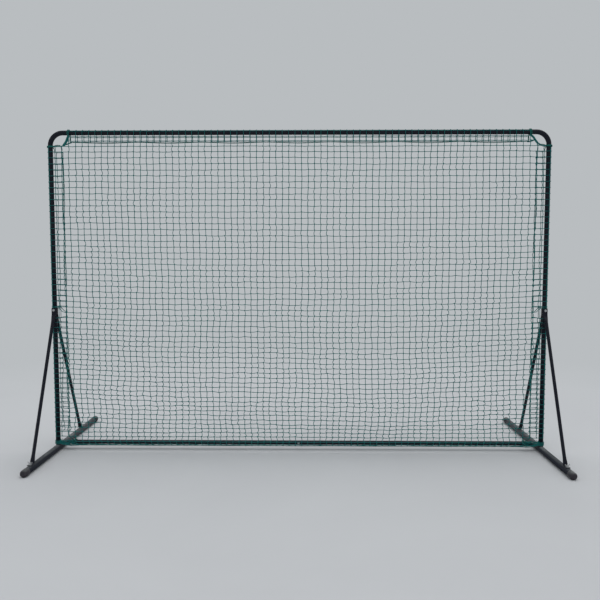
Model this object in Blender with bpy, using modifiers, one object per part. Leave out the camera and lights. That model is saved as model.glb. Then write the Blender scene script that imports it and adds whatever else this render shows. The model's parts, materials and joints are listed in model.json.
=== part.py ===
"""Baseball field divider fence: a bolted tube frame on two foot bars, with a knotted net roped over it.

Metres, +Z up. +X runs along the fence and -Y is its front. The origin is the middle of the base on the floor.
"""

import math

import bmesh
import bpy
from mathutils import Matrix, Vector

PI = math.pi
GAP = 0.0003  # kept between pieces that touch
CUT_PAST = 0.01  # how far a hole's cutter runs past the wall

# Frame of two bent tubes
FRAME_WIDTH = 3.0
TUBE_R = 0.0143
TUBE_WALL = 0.0012
POST_X = FRAME_WIDTH / 2 - TUBE_R
POST_Y = -0.100
RAIL_Z = 1.9335
CORNER_R = 0.076
CORNER_STEPS = 8

# Middle joints: the left tube's swaged end sits in the right tube
JOINT_HALF = 0.035
SWAGE_TAPER = 0.004
SWAGE_PLAY = 0.0006

# Foot bars and their rubber caps
FOOT_LENGTH = 1.200
FOOT_R = 0.01905
FOOT_WALL = 0.0016
FOOT_Z = 0.0199
FOOT_TOP = FOOT_Z + FOOT_R
CAP_R = 0.0207
CAP_LENGTH = 0.050
CAP_END = 0.0105
CAP_ROUND = 0.014
CAP_LIP = 0.0006
SOLE_CUTTER = 0.1

# Stub inside the foot of each post
STUB_R = 0.0123
STUB_WALL = 0.002
STUB_HEIGHT = 0.090
STUB_FLOOR = 0.002

# Bottom rail, bolted on the foot bars behind the posts
BOTTOM_R = 0.0127
BOTTOM_Y = -0.055
BOTTOM_FLAT = 0.028
BOTTOM_SWELL = 0.030

# Stays, with flattened ends
STAY_R = 0.00955
STAY_BOLT_Z = 0.871
STAY_SPREAD = 0.405
FLAT_HALF = 0.0017
FLAT_ENDS = 0.014
STAY_TOP_FLAT = 0.026
STAY_FOOT_FLAT = 0.026
STAY_SWELL = 0.055
SWELL_STEPS = 2
PRESSED_Z = FOOT_TOP + GAP + FLAT_HALF  # middle of a pressed end that lies on a foot bar

# Bolts, studs, washers and wing nuts
BOLT_R = 0.0039
BOLT_HOLE_R = 0.0044
JOINT_BOLT_R = 0.0029
JOINT_HOLE_R = 0.0034
HEAD_R = 0.0090
HEAD_HEIGHT = 0.0045
DOME = ((0, 1), (0.55, 0.86), (0.9, 0.45), (1, 0))  # shares of a head's radius and height
JOINT_HEAD_R = 0.0070
JOINT_HEAD_HEIGHT = 0.0035
JOINT_NUT_R = 0.0058
JOINT_NUT_HEIGHT = 0.005
WASHER_R = 0.0105
WASHER_THICKNESS = 0.0016
STUD_SPARE = 0.004
NUT_R = 0.0070
NUT_HEIGHT = 0.0085
NUT_TAPER = 0.0012
STAY_NUT_TURN = math.radians(35)
FOOT_NUT_TURN = math.radians(20)
WING_THICKNESS = 0.0024
WING_OUTLINE = ((0.0050, 0.0012), (0.0090, 0.0025), (0.0150, 0.0080), (0.0172, 0.0135), (0.0160, 0.0165),
                (0.0128, 0.0160), (0.0095, 0.0105), (0.0050, 0.0078))

# Net: each gap here stands for a block of real meshes
TWINE_HALF = 0.0015
TWINE_THICKNESS = 0.0024
WRAP_R = 0.0166
WRAP_STEPS = 5
NET_X = 1.4605
NET_BOTTOM = 0.0603
NET_TOP = 1.9115
NET_COLUMNS = 13
NET_ROWS = 11
NET_Y = POST_Y - WRAP_R
SIDE_FLAP = 0.057
SIDE_FLAP_TOP = 1.8350
TOP_FLAP_Z = 1.8850
TOP_FLAP_X = 1.3600
# (y, z) of the edge that goes under the bottom rail
UNDER_RAIL = ((NET_Y, 0.054), (-0.090, 0.034), (-0.068, 0.0255))

# Border rope, with the runs of its waves, and ties
ROPE_R = 0.0025
ROPE_OFF_NET = 0.0047
WAVE_DEPTH = 0.006
SIDE_WAVES = 5
TOP_WAVES = 7
BOTTOM_WAVES = 6
POINTS_A_WAVE = 4
BOTTOM_ROPE_OFF = (0.0032, -0.0034)  # (back, up) from the net's lowest edge
SIDE_ROPE_TOP = 1.8250
SIDE_ROPE_FOOT = 0.0900
# Hand-placed ends of the ropes: (in from the post, back, above its tie), (out from the foot tie, back, height)
# and (out from the flap's end, back, above the flap)
SIDE_ROPE_START = ((0.022, 0.002, 0.0105), (0.040, 0.002, 0.0120), (0.056, 0.001, 0.0060))
SIDE_ROPE_END = ((0.016, 0.004, 0.070), (0.010, 0.005, 0.056))
TOP_ROPE_END = ((0.0070, 0, -0.003), (0.0090, 0.001, 0.010), (0.0085, 0.001, 0.026))
TOP_ROPE_SHORT = 0.006
BOTTOM_ROPE_DIP = 0.0015
TIE_TURNS = 2
TIE_STEPS = 14
TIE_PITCH = 0.0062
TIE_SLACK = 0.0009
TIE_TAIL = 0.012
TIE_LIFT = 0.0035
TIE_DROOP = 0.016
POST_TIE_Z = 1.8520
RAIL_TIE_X = 1.3740
FOOT_TIE_X = 1.3950

PAINT = ("black_paint", (0.012, 0.013, 0.020), 0.38, 0.0)
ZINC = ("zinc", (0.72, 0.73, 0.74), 0.30, 1.0)
RUBBER = ("black_rubber", (0.015, 0.016, 0.018), 0.70, 0.0)
TWINE = ("green_twine", (0.040, 0.165, 0.150), 0.75, 0.0)
ROPE = ("green_rope", (0.016, 0.095, 0.080), 0.80, 0.0)


def clear_scene():
    for obj in list(bpy.data.objects):
        bpy.data.objects.remove(obj, do_unlink=True)
    for old in list(bpy.data.collections):
        bpy.data.collections.remove(old)


def new_collection(name, hidden=False):
    made = bpy.data.collections.new(name)
    made.hide_render = hidden
    bpy.context.scene.collection.children.link(made)
    return made


def material(finish):
    name, colour, roughness, metallic = finish
    found = bpy.data.materials.get(name)
    if found:
        return found
    made = bpy.data.materials.new(name)
    made.use_nodes = True
    shader = made.node_tree.nodes["Principled BSDF"]
    shader.inputs["Base Color"].default_value = (*colour, 1.0)
    shader.inputs["Roughness"].default_value = roughness
    shader.inputs["Metallic"].default_value = metallic
    return made


def place(name, mesh, finish, location=(0, 0, 0), rotation=(0, 0, 0), parent=None):
    """A finished part: one object in the fence's collection, with its finish."""
    obj = bpy.data.objects.new(name, mesh)
    obj.location = location
    obj.rotation_euler = rotation
    obj.parent = parent
    if not mesh.materials:
        mesh.materials.append(material(finish))
    FENCE.objects.link(obj)
    return obj


def empty(name, location):
    made = bpy.data.objects.new(name, None)
    made.location = location
    made.empty_display_size = 0.05
    FENCE.objects.link(made)
    return made


def mesh_from(name, bm, smooth_angle=math.radians(35)):
    mesh = bpy.data.meshes.new(name)
    bm.to_mesh(mesh)
    bm.free()
    mesh.shade_smooth()
    mesh.set_sharp_from_angle(angle=smooth_angle)
    return mesh


def baked(obj, name):
    """The object's evaluated shape as a mesh of its own, with its loose caps welded. The object goes."""
    bpy.context.view_layer.update()
    shape = obj.evaluated_get(bpy.context.evaluated_depsgraph_get())
    mesh = bpy.data.meshes.new_from_object(shape)
    bm = bmesh.new()
    bm.from_mesh(mesh)
    bm.transform(obj.matrix_world)
    bmesh.ops.remove_doubles(bm, verts=bm.verts, dist=1e-6)
    bmesh.ops.recalc_face_normals(bm, faces=bm.faces)
    bpy.data.meshes.remove(mesh)
    bpy.data.objects.remove(obj)
    return mesh_from(name, bm)


def cylinder_mesh(name, radius, start, end, sides):
    """A cylinder between two points."""
    start, end = Vector(start), Vector(end)
    bm = bmesh.new()
    bmesh.ops.create_cone(bm, cap_ends=True, segments=sides, radius1=radius, radius2=radius,
                          depth=(end - start).length)
    turn = (end - start).to_track_quat("Z", "Y").to_matrix().to_4x4()
    bm.transform(Matrix.Translation((start + end) / 2) @ turn)
    return mesh_from(name, bm)


def cylinder_cutter(name, radius, start, end, sides=12):
    """A hidden cylinder, for a hole or for a piece that is joined."""
    return helper(name, cylinder_mesh(name, radius, start, end, sides))


def helper(name, mesh):
    obj = bpy.data.objects.new(name, mesh)
    obj.hide_render = True
    obj.display_type = "WIRE"
    CUTTERS.objects.link(obj)
    return obj


def boolean(obj, other, operation="DIFFERENCE"):
    step = obj.modifiers.new(other.name, "BOOLEAN")
    step.operation = operation
    step.object = other
    return step


def curve_object(name, points, radius, resolution, radii=None, caps=True):
    """A round bar along straight runs between points. A point's own radius is a share of the bar's."""
    curve = bpy.data.curves.new(name, "CURVE")
    curve.dimensions = "3D"
    curve.bevel_depth = radius
    curve.bevel_resolution = resolution
    curve.use_fill_caps = caps
    spline = curve.splines.new("POLY")
    spline.points.add(len(points) - 1)
    for index, point in enumerate(points):
        spline.points[index].co = (*point, 1.0)
        spline.points[index].radius = radii[index] if radii else 1.0
    obj = bpy.data.objects.new(name, curve)
    bpy.context.scene.collection.objects.link(obj)
    return obj


def arc(centre, radius, start, end, steps, across, up):
    """Points on an arc in the plane of two unit directions, both ends included."""
    centre, across, up = Vector(centre), Vector(across), Vector(up)
    turns = [start + (end - start) * step / steps for step in range(steps + 1)]
    return [centre + radius * (math.cos(turn) * across + math.sin(turn) * up) for turn in turns]


def hollow(obj, wall):
    """Gives an open tube its wall, inwards."""
    shell = obj.modifiers.new("wall", "SOLIDIFY")
    shell.thickness = wall
    shell.offset = -1.0
    shell.use_even_offset = True


def frame_tube(side):
    """One bent tube: post, corner and half of the top rail. The left one ends in the swaged joint."""
    name = "left_frame_tube" if side < 0 else "right_frame_tube"
    post = Vector((side * POST_X, POST_Y, 0))
    centre = (side * (POST_X - CORNER_R), POST_Y, RAIL_Z - CORNER_R)
    bend = arc(centre, CORNER_R, 0, PI / 2, CORNER_STEPS, (side, 0, 0), (0, 0, 1))
    points = [post + Vector((0, 0, FOOT_TOP + GAP)), *bend]
    radii = [1.0] * len(points)
    if side < 0:
        narrow = (TUBE_R - TUBE_WALL - SWAGE_PLAY) / TUBE_R
        seam = -JOINT_HALF
        rail = [seam - GAP - SWAGE_TAPER, seam - GAP, JOINT_HALF - GAP]
        radii += [1.0, narrow, narrow]
    else:
        rail = [-JOINT_HALF]
        radii += [1.0]
    points += [Vector((x, POST_Y, RAIL_Z)) for x in rail]
    tube = place(name, baked(curve_object(name, points, TUBE_R, 4, radii, caps=False), name), PAINT)
    hollow(tube, TUBE_WALL)
    front, back = POST_Y - 2 * TUBE_R, POST_Y + 2 * TUBE_R
    boolean(tube, cylinder_cutter(name + "_stay_hole", BOLT_HOLE_R, (side * POST_X, front, STAY_BOLT_Z),
                                  (side * POST_X, back, STAY_BOLT_Z)))
    boolean(tube, cylinder_cutter(name + "_joint_hole", JOINT_HOLE_R, (0, front, RAIL_Z), (0, back, RAIL_Z)))
    return tube


def section(centre, along, across, half_width, half_thickness, sides):
    """Ring of a tube that is pressed flat: round where both halves are equal, a rounded slot where not."""
    along, across = Vector(along).normalized(), Vector(across).normalized()
    thick = along.cross(across)
    flat = 1 - half_thickness / half_width
    power = 2 / (2 + 4 * flat)
    ring = []
    for step in range(sides):
        turn = 2 * PI * (step + 0.5) / sides
        c, s = math.cos(turn), math.sin(turn)
        wide = math.copysign(abs(c) ** power, c) * half_width
        deep = math.copysign(abs(s) ** power, s) * half_thickness
        ring.append(Vector(centre) + across * wide + thick * deep)
    return ring


def pressed_tube(name, stations, across, wall, sides):
    """A walled tube through stations of (centre, direction, half width, half thickness), open at both ends."""
    bm = bmesh.new()
    skins = []
    for inset in (0.0, wall):
        skins.append([[bm.verts.new(point) for point in
                       section(centre, along, across, wide - inset, deep - inset, sides)]
                      for centre, along, wide, deep in stations])
    outer, inner = skins
    rows = [*outer, *reversed(inner), outer[0]]
    for row, following in zip(rows, rows[1:]):
        for step in range(sides):
            after = (step + 1) % sides
            bm.faces.new((row[step], row[after], following[after], following[step]))
    bmesh.ops.recalc_face_normals(bm, faces=bm.faces)
    return mesh_from(name, bm)


def swell(start, direction, length, radius, flat_width):
    """Stations where a pressed end opens out into the round tube."""
    stations = []
    for step in range(1, SWELL_STEPS + 1):
        share = step / SWELL_STEPS
        eased = share * share * (3 - 2 * share)
        wide = flat_width + (radius - flat_width) * eased
        deep = FLAT_HALF + (radius - FLAT_HALF) * eased
        stations.append((start + direction * length * share, direction, wide, deep))
    return stations


def pressed_width(radius):
    """Half width of a round tube pressed to the flat thickness: its girth stays the same."""
    return (PI * radius - 2 * FLAT_HALF) / 2


def stay(side, facing):
    """A stay from the post's bolt to its stud on the foot bar. facing is -1 in front and 1 behind."""
    name = ("front" if facing < 0 else "rear") + ("_left" if side < 0 else "_right") + "_stay"
    x = side * POST_X
    wide = pressed_width(STAY_R)
    top_y = POST_Y + facing * (TUBE_R + GAP + FLAT_HALF)
    foot_y = POST_Y + facing * STAY_SPREAD
    foot_z = PRESSED_Z
    down = Vector((0, 0, -1))
    out = Vector((0, facing, 0))
    top_bend = Vector((x, top_y, STAY_BOLT_Z - STAY_TOP_FLAT))
    foot_bend = Vector((x, foot_y - facing * STAY_FOOT_FLAT, foot_z))
    slope = (foot_bend - top_bend).normalized()
    stations = [(Vector((x, top_y, STAY_BOLT_Z + FLAT_ENDS)), down, wide, FLAT_HALF),
                (top_bend, down + slope, wide, FLAT_HALF)]
    stations += swell(top_bend, slope, STAY_SWELL, STAY_R, wide)
    stations += [(centre, slope, across, deep) for centre, _, across, deep in
                 reversed(swell(foot_bend, -slope, STAY_SWELL, STAY_R, wide))]
    stations += [(foot_bend, slope + out, wide, FLAT_HALF),
                 (Vector((x, foot_y + facing * FLAT_ENDS, foot_z)), out, wide, FLAT_HALF)]
    tube = place(name, pressed_tube(name, stations, (1, 0, 0), TUBE_WALL, 12), PAINT)
    boolean(tube, cylinder_cutter(name + "_top_hole", BOLT_HOLE_R, (x, top_y - CUT_PAST, STAY_BOLT_Z),
                                  (x, top_y + CUT_PAST, STAY_BOLT_Z)))
    boolean(tube, cylinder_cutter(name + "_foot_hole", BOLT_HOLE_R, (x, foot_y, foot_z - CUT_PAST),
                                  (x, foot_y, foot_z + CUT_PAST)))
    return tube


def bottom_rail(side):
    """Half of the bottom rail: pressed end on the foot bar, and the plain or the swaged end in the middle."""
    name = "bottom_rail_left" if side < 0 else "bottom_rail_right"
    inward = Vector((-side, 0, 0))
    z = PRESSED_Z
    wide = pressed_width(BOTTOM_R)
    stud = Vector((side * POST_X, BOTTOM_Y, z))
    bend = stud + inward * BOTTOM_FLAT
    stations = [(stud - inward * FLAT_ENDS, inward, wide, FLAT_HALF), (bend, inward, wide, FLAT_HALF)]
    stations += swell(bend, inward, BOTTOM_SWELL, BOTTOM_R, wide)
    if side < 0:
        narrow = BOTTOM_R - TUBE_WALL - SWAGE_PLAY
        seam = -JOINT_HALF - GAP
        joint = [(seam - SWAGE_TAPER, BOTTOM_R), (seam, narrow), (JOINT_HALF - GAP, narrow)]
    else:
        joint = [(-JOINT_HALF, BOTTOM_R)]
    stations += [(Vector((x, BOTTOM_Y, z)), inward, radius, radius) for x, radius in joint]
    tube = place(name, pressed_tube(name, stations, (0, 1, 0), TUBE_WALL, 12), PAINT)
    boolean(tube, cylinder_cutter(name + "_stud_hole", BOLT_HOLE_R, stud - Vector((0, 0, CUT_PAST)),
                                  stud + Vector((0, 0, CUT_PAST))))
    boolean(tube, cylinder_cutter(name + "_joint_hole", JOINT_HOLE_R, (0, BOTTOM_Y - 2 * BOTTOM_R, z),
                                  (0, BOTTOM_Y + 2 * BOTTOM_R, z)))
    return tube


def foot_bar(side):
    """A foot bar with what is welded on it: the post's stub and three threaded studs."""
    name = "left_foot_bar" if side < 0 else "right_foot_bar"
    x = side * POST_X
    half = FOOT_LENGTH / 2 - CAP_END - GAP
    bar = curve_object(name, [(x, -half, FOOT_Z), (x, half, FOOT_Z)], FOOT_R, 6, caps=False)
    foot = place(name, baked(bar, name), PAINT)
    hollow(foot, FOOT_WALL)
    weld = FOOT_TOP - FOOT_WALL / 2
    stub_top = FOOT_TOP + STUB_HEIGHT
    stub = cylinder_cutter(name + "_stub", STUB_R, (x, POST_Y, weld - FOOT_WALL), (x, POST_Y, stub_top))
    boolean(foot, stub, "UNION")
    bore = cylinder_cutter(name + "_stub_bore", STUB_R - STUB_WALL, (x, POST_Y, FOOT_TOP + STUB_FLOOR),
                           (x, POST_Y, stub_top + CUT_PAST))
    boolean(foot, bore)
    for place_name, y, clamped in stud_places():
        top = FOOT_TOP + clamped + NUT_HEIGHT + STUD_SPARE
        stud = cylinder_cutter(f"{name}_{place_name}_stud", BOLT_R, (x, y, weld), (x, y, top))
        boolean(foot, stud, "UNION")
    return foot


def stud_places():
    """Name, place along the foot bar and clamped height of each stud."""
    tab = 2 * FLAT_HALF + GAP
    stay_stack = tab + WASHER_THICKNESS + 2 * GAP
    return (("front", POST_Y - STAY_SPREAD, stay_stack), ("rear", POST_Y + STAY_SPREAD, stay_stack),
            ("rail", BOTTOM_Y, tab + GAP))


def turned(name, profile, steps):
    """A shape turned about Z. The profile's outer side runs from top to bottom."""
    mesh = bpy.data.meshes.new(name)
    bm = bmesh.new()
    corners = [bm.verts.new((radius, 0, height)) for radius, height in profile]
    for first, second in zip(corners, corners[1:]):
        bm.edges.new((first, second))
    bm.to_mesh(mesh)
    bm.free()
    obj = bpy.data.objects.new(name, mesh)
    bpy.context.scene.collection.objects.link(obj)
    spin = obj.modifiers.new("spin", "SCREW")
    spin.steps = steps
    spin.render_steps = steps
    spin.use_merge_vertices = True
    spin.merge_threshold = 1e-5
    return baked(obj, name)


def foot_cap(side, facing):
    """A rounded rubber cap over the end of a foot bar, with a flat sole."""
    name = ("front" if facing < 0 else "rear") + ("_left" if side < 0 else "_right") + "_foot_cap"
    bore = FOOT_R + GAP
    rounded = arc((CAP_R - CAP_ROUND, 0, CAP_ROUND), CAP_ROUND, 0, -PI / 2, 4, (1, 0, 0), (0, 0, 1))
    profile = [(0, CAP_END), (bore, CAP_END), (bore, CAP_LENGTH), (CAP_R - CAP_LIP, CAP_LENGTH),
               (CAP_R, CAP_LENGTH - CAP_LIP), *((point.x, point.z) for point in rounded), (0, 0)]
    mesh = turned(name, profile, 16)
    cap = place(name, mesh, RUBBER, (side * POST_X, facing * FOOT_LENGTH / 2, FOOT_Z),
                (facing * PI / 2, 0, 0))
    bm = bmesh.new()
    bmesh.ops.create_cube(bm, size=SOLE_CUTTER)
    bm.transform(Matrix.Translation((side * POST_X, facing * FOOT_LENGTH / 2, -SOLE_CUTTER / 2)))
    boolean(cap, helper(name + "_sole", mesh_from(name + "_sole", bm)))
    return cap


def domed_bolt(name, radius, head_r, head_height, shank, steps=12):
    """A bolt along Z with its domed head on top and the shank below it."""
    profile = [(head_r * across, head_height * up) for across, up in DOME]
    profile += [(radius, 0), (radius, -shank), (0, -shank)]
    return turned(name, profile, steps)


def washer(name, radius, hole, thickness):
    profile = [(hole, thickness), (radius, thickness), (radius, 0), (hole, 0), (hole, thickness)]
    return turned(name, profile, 12)


def wing_nut():
    """The mesh that all wing nuts share: a hub with two wings and its threaded bore, seat at z = 0."""
    outline = [(radius, height) for radius, height in WING_OUTLINE]
    outline += [(-radius, height) for radius, height in reversed(WING_OUTLINE)]
    curve = bpy.data.curves.new("wings", "CURVE")
    curve.dimensions = "2D"
    curve.fill_mode = "BOTH"
    curve.extrude = WING_THICKNESS / 2
    spline = curve.splines.new("POLY")
    spline.points.add(len(outline) - 1)
    for point, (across, height) in zip(spline.points, outline):
        point.co = (across, height, 0, 1)
    spline.use_cyclic_u = True
    flat = bpy.data.objects.new("wings", curve)
    flat.rotation_euler = (PI / 2, 0, 0)
    bpy.context.scene.collection.objects.link(flat)
    wings = helper("wings", baked(flat, "wings"))
    hub = turned("hub", [(0, NUT_HEIGHT), (NUT_R - NUT_TAPER, NUT_HEIGHT), (NUT_R, 0), (0, 0)], 12)
    obj = bpy.data.objects.new("wing_nut", hub)
    bpy.context.scene.collection.objects.link(obj)
    boolean(obj, wings, "UNION")
    bore_top = NUT_HEIGHT + CUT_PAST
    boolean(obj, cylinder_cutter("wing_nut_bore", BOLT_HOLE_R, (0, 0, -CUT_PAST), (0, 0, bore_top)))
    return baked(obj, "wing_nut")


def stay_fastenings(side, nut):
    """Bolt through the post and both stay tops, with its wing nut behind."""
    word = "left" if side < 0 else "right"
    front = POST_Y - TUBE_R - 2 * FLAT_HALF - 2 * GAP
    back = POST_Y + TUBE_R + 2 * FLAT_HALF + 2 * GAP
    shank = back + NUT_HEIGHT + STUD_SPARE - front
    bolt = domed_bolt(f"{word}_stay_bolt", BOLT_R, HEAD_R, HEAD_HEIGHT, shank)
    place(f"{word}_stay_bolt", bolt, ZINC, (side * POST_X, front, STAY_BOLT_Z), (PI / 2, 0, 0))
    axis = empty(f"{word}_stay_bolt_axis", (side * POST_X, back, STAY_BOLT_Z))
    turned_back = (-PI / 2, side * STAY_NUT_TURN, 0)
    place(f"{word}_stay_bolt_wing_nut", nut, ZINC, rotation=turned_back, parent=axis)


def foot_fastenings(side, nut):
    """Washer and wing nut on each stay's stud, and the wing nut on the bottom rail's stud."""
    word = "left" if side < 0 else "right"
    for place_name, y, clamped in stud_places():
        if place_name == "rail":
            title = f"{word}_bottom_rail_wing_nut"
        else:
            title = f"{place_name}_{word}_stay_wing_nut"
            ring = washer(f"{place_name}_{word}_stay_washer", WASHER_R, BOLT_HOLE_R, WASHER_THICKNESS)
            below = FOOT_TOP + clamped - WASHER_THICKNESS - GAP
            place(f"{place_name}_{word}_stay_washer", ring, ZINC, (side * POST_X, y, below))
        axis = empty(title + "_axis", (side * POST_X, y, FOOT_TOP + clamped))
        turn = side * FOOT_NUT_TURN + (PI / 2 if place_name == "rail" else 0)
        place(title, nut, ZINC, rotation=(0, 0, turn), parent=axis)


def joint_fastenings(word, y, z, radius, finish):
    """Bolt and nut through a middle joint of the rails."""
    front = y - radius - GAP
    back = y + radius + GAP
    shank = back + JOINT_NUT_HEIGHT + STUD_SPARE / 2 - front
    bolt = domed_bolt(f"{word}_joint_bolt", JOINT_BOLT_R, JOINT_HEAD_R, JOINT_HEAD_HEIGHT, shank)
    place(f"{word}_joint_bolt", bolt, finish, (0, front, z), (PI / 2, 0, 0))
    name = f"{word}_joint_nut"
    body = cylinder_mesh(name, JOINT_NUT_R, (0, back, z), (0, back + JOINT_NUT_HEIGHT, z), 6)
    nut = place(name, body, finish)
    bore = cylinder_cutter(name + "_bore", JOINT_HOLE_R, (0, back - CUT_PAST, z), (0, back + 2 * CUT_PAST, z))
    boolean(nut, bore)


def strands(places):
    """Grid lines of strands centred on these places: each line's place, and whether a strand starts there."""
    lines = []
    for centre in places:
        lines.append((centre - TWINE_HALF, True))
        lines.append((centre + TWINE_HALF, False))
    return lines


def spaced(start, end, count):
    return [start + (end - start) * step / count for step in range(count + 1)]


def net_piece(name, columns, rows, route):
    """A sheet of crossing strands. route turns a pair of grid lines' places into a point."""
    bm = bmesh.new()
    bmesh.ops.create_grid(bm, x_segments=len(columns) - 1, y_segments=len(rows) - 1, size=1.0)
    cells = {}
    for face in bm.faces:
        first = min(corner.index for corner in face.verts)
        cells[face] = divmod(first, len(columns))
    holes = [face for face, (row, column) in cells.items() if not (rows[row][1] or columns[column][1])]
    for corner in bm.verts:
        row, column = divmod(corner.index, len(columns))
        corner.co = route(columns[column][0], rows[row][0])
    bmesh.ops.delete(bm, geom=holes, context="FACES")
    piece = place(name, mesh_from(name, bm), TWINE)
    body = piece.modifiers.new("twine", "SOLIDIFY")
    body.thickness = TWINE_THICKNESS
    body.offset = 0.0
    body.use_even_offset = True
    return piece


def along(outline, value):
    """A place on an outline, where whole numbers are its corners."""
    index = min(int(value), len(outline) - 2)
    return outline[index].lerp(outline[index + 1], value - index)


def outline_lines(outline):
    """Grid lines at each corner of an outline, with a strand along its last edge."""
    last = len(outline) - 1
    share = 2 * TWINE_HALF / (outline[-1] - outline[-2]).length
    return [*((index, False) for index in range(last)), (last - share, True), (last, False)]


def wrapped(start, centre, flap_end):
    """Outline of an edge turned back over a tube, as (outwards, backwards) from the tube's plane."""
    bend = arc((centre, 0, 0), WRAP_R, -PI / 2, PI / 2, WRAP_STEPS, (1, 0, 0), (0, 1, 0))
    return [Vector((start, -WRAP_R)), *(point.to_2d() for point in bend), Vector((flap_end, WRAP_R))]


def net():
    """The net: its flat front, and its edges turned over the posts, the top rail and under the bottom rail."""
    columns = spaced(TWINE_HALF - NET_X, NET_X - TWINE_HALF, NET_COLUMNS)
    levels = spaced(NET_BOTTOM + TWINE_HALF, NET_TOP - TWINE_HALF, NET_ROWS)
    net_piece("net_front", strands(columns), strands(levels), lambda x, z: (x, NET_Y, z))

    side = wrapped(NET_X + GAP, POST_X, POST_X - SIDE_FLAP)
    side_levels = strands([*levels[:-1], SIDE_FLAP_TOP])

    def side_route(sign):
        def route(u, z):
            out, back = along(side, u)
            return (sign * out, POST_Y + back, z)
        return route

    net_piece("net_left_edge", outline_lines(side), side_levels, side_route(-1))
    net_piece("net_right_edge", outline_lines(side), side_levels, side_route(1))

    inner = [x for x in columns if abs(x) < TOP_FLAP_X - SIDE_FLAP]
    edge_columns = strands([-TOP_FLAP_X, *inner, TOP_FLAP_X])
    top = wrapped(NET_TOP + GAP, RAIL_Z, TOP_FLAP_Z)

    def top_route(x, v):
        up, back = along(top, v)
        return (x, POST_Y + back, up)

    net_piece("net_top_edge", edge_columns, outline_lines(top), top_route)

    under = [Vector((NET_Y, NET_BOTTOM - GAP)), *map(Vector, UNDER_RAIL)]

    def bottom_route(x, v):
        y, z = along(under, v)
        return (x, y, z)

    net_piece("net_bottom_edge", edge_columns, outline_lines(under), bottom_route)


def rope(name, points):
    """A stretch of border rope through its points."""
    obj = curve_object(name, points, ROPE_R, 1)
    place(name, baked(obj, name), ROPE)
    length = sum(math.dist(first, second) for first, second in zip(points, points[1:]))
    print(f"{name}: {length:.3f} m")


def waves(count):
    """Place along a run and depth of each of its waves, both as shares."""
    total = count * POINTS_A_WAVE
    return [(step / total, (1 - math.cos(2 * PI * step / POINTS_A_WAVE)) / 2) for step in range(total + 1)]


def border_ropes():
    """The rope along each edge of the net. It lies behind the frame, and under the bottom rail."""
    back = POST_Y + WRAP_R
    for sign, word in ((-1, "left"), (1, "right")):
        inner = POST_X - SIDE_FLAP - ROPE_OFF_NET
        fall = SIDE_ROPE_FOOT - SIDE_ROPE_TOP
        run = [(sign * (inner - WAVE_DEPTH * depth), back, SIDE_ROPE_TOP + fall * share)
               for share, depth in waves(SIDE_WAVES)]
        start = [(sign * (POST_X - inwards), back + behind, POST_TIE_Z + up)
                 for inwards, behind, up in SIDE_ROPE_START]
        end = [(sign * (FOOT_TIE_X + out), back + behind, z) for out, behind, z in SIDE_ROPE_END]
        rope(f"{word}_border_rope", [*start, *run, *end])
    low = TOP_FLAP_Z - ROPE_OFF_NET
    reach = TOP_FLAP_X - TOP_ROPE_SHORT
    run = [(reach * (2 * share - 1), back, low - WAVE_DEPTH * depth) for share, depth in waves(TOP_WAVES)]
    ends = [(TOP_FLAP_X + out, back + behind, TOP_FLAP_Z + up) for out, behind, up in TOP_ROPE_END]
    rope("top_border_rope", [*((-x, y, z) for x, y, z in reversed(ends)), *run, *ends])
    y, z = UNDER_RAIL[-1][0] + BOTTOM_ROPE_OFF[0], UNDER_RAIL[-1][1] + BOTTOM_ROPE_OFF[1]
    run = [(TOP_FLAP_X * (2 * share - 1), y + WAVE_DEPTH * depth / 2, z)
           for share, depth in waves(BOTTOM_WAVES)]
    dipped = z - BOTTOM_ROPE_DIP
    rope("bottom_border_rope", [(-FOOT_TIE_X, y, dipped), *run, (FOOT_TIE_X, y, dipped)])


def tie(name, centre, axis, facing, tangent, core, droop):
    """Rope wound on a tube, with a short tail at each end of its turns on the side that it faces."""
    centre, axis, facing, tangent = Vector(centre), Vector(axis), Vector(facing), Vector(tangent)
    radius = core + ROPE_R + TIE_SLACK
    reach = TIE_TURNS * TIE_PITCH / 2
    wound = []
    for step in range(TIE_TURNS * TIE_STEPS + 1):
        turn = 2 * PI * step / TIE_STEPS
        ring = facing * math.cos(turn) + tangent * math.sin(turn)
        wound.append(centre + radius * ring + axis * (step / TIE_STEPS * TIE_PITCH - reach))
    tails = []
    for sign, last in ((-1, wound[0]), (1, wound[-1])):
        away = last + sign * tangent * TIE_TAIL + facing * TIE_LIFT
        tails.append([away, away + sign * tangent * TIE_TAIL / 2 + Vector((0, 0, -droop))])
    points = [*reversed(tails[0]), *wound, *tails[1]]
    place(name, baked(curve_object(name, points, ROPE_R, 1), name), ROPE)
    print(f"{name}: least gap to itself {1000 * least_gap(points):.1f} mm")


def least_gap(points):
    """Least gap between parts of a rope that are more than a half turn apart along it."""
    apart = TIE_STEPS // 2
    gaps = [(a - b).length for index, a in enumerate(points) for b in points[index + apart:]]
    return min(gaps) - 2 * ROPE_R


def corner_ties():
    slant = math.sqrt(0.5)
    for sign, word in ((-1, "left"), (1, "right")):
        out = (sign, 0, 0)
        on_post = (sign * POST_X, POST_Y, POST_TIE_Z)
        on_rail = (sign * RAIL_TIE_X, POST_Y, RAIL_Z)
        on_bottom = (sign * FOOT_TIE_X, BOTTOM_Y, PRESSED_Z)
        tie(f"{word}_post_tie", on_post, (0, 0, 1), (0, 1, 0), out, TUBE_R, TIE_DROOP)
        tie(f"{word}_rail_tie", on_rail, out, (0, slant, -slant), (0, slant, slant), TUBE_R, TIE_DROOP)
        tie(f"{word}_foot_tie", on_bottom, out, (0, 1, 0), (0, 0, 1), BOTTOM_R, 0)


clear_scene()
FENCE = new_collection("baseball_field_divider_fence")
CUTTERS = new_collection("cutters", hidden=True)

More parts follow.
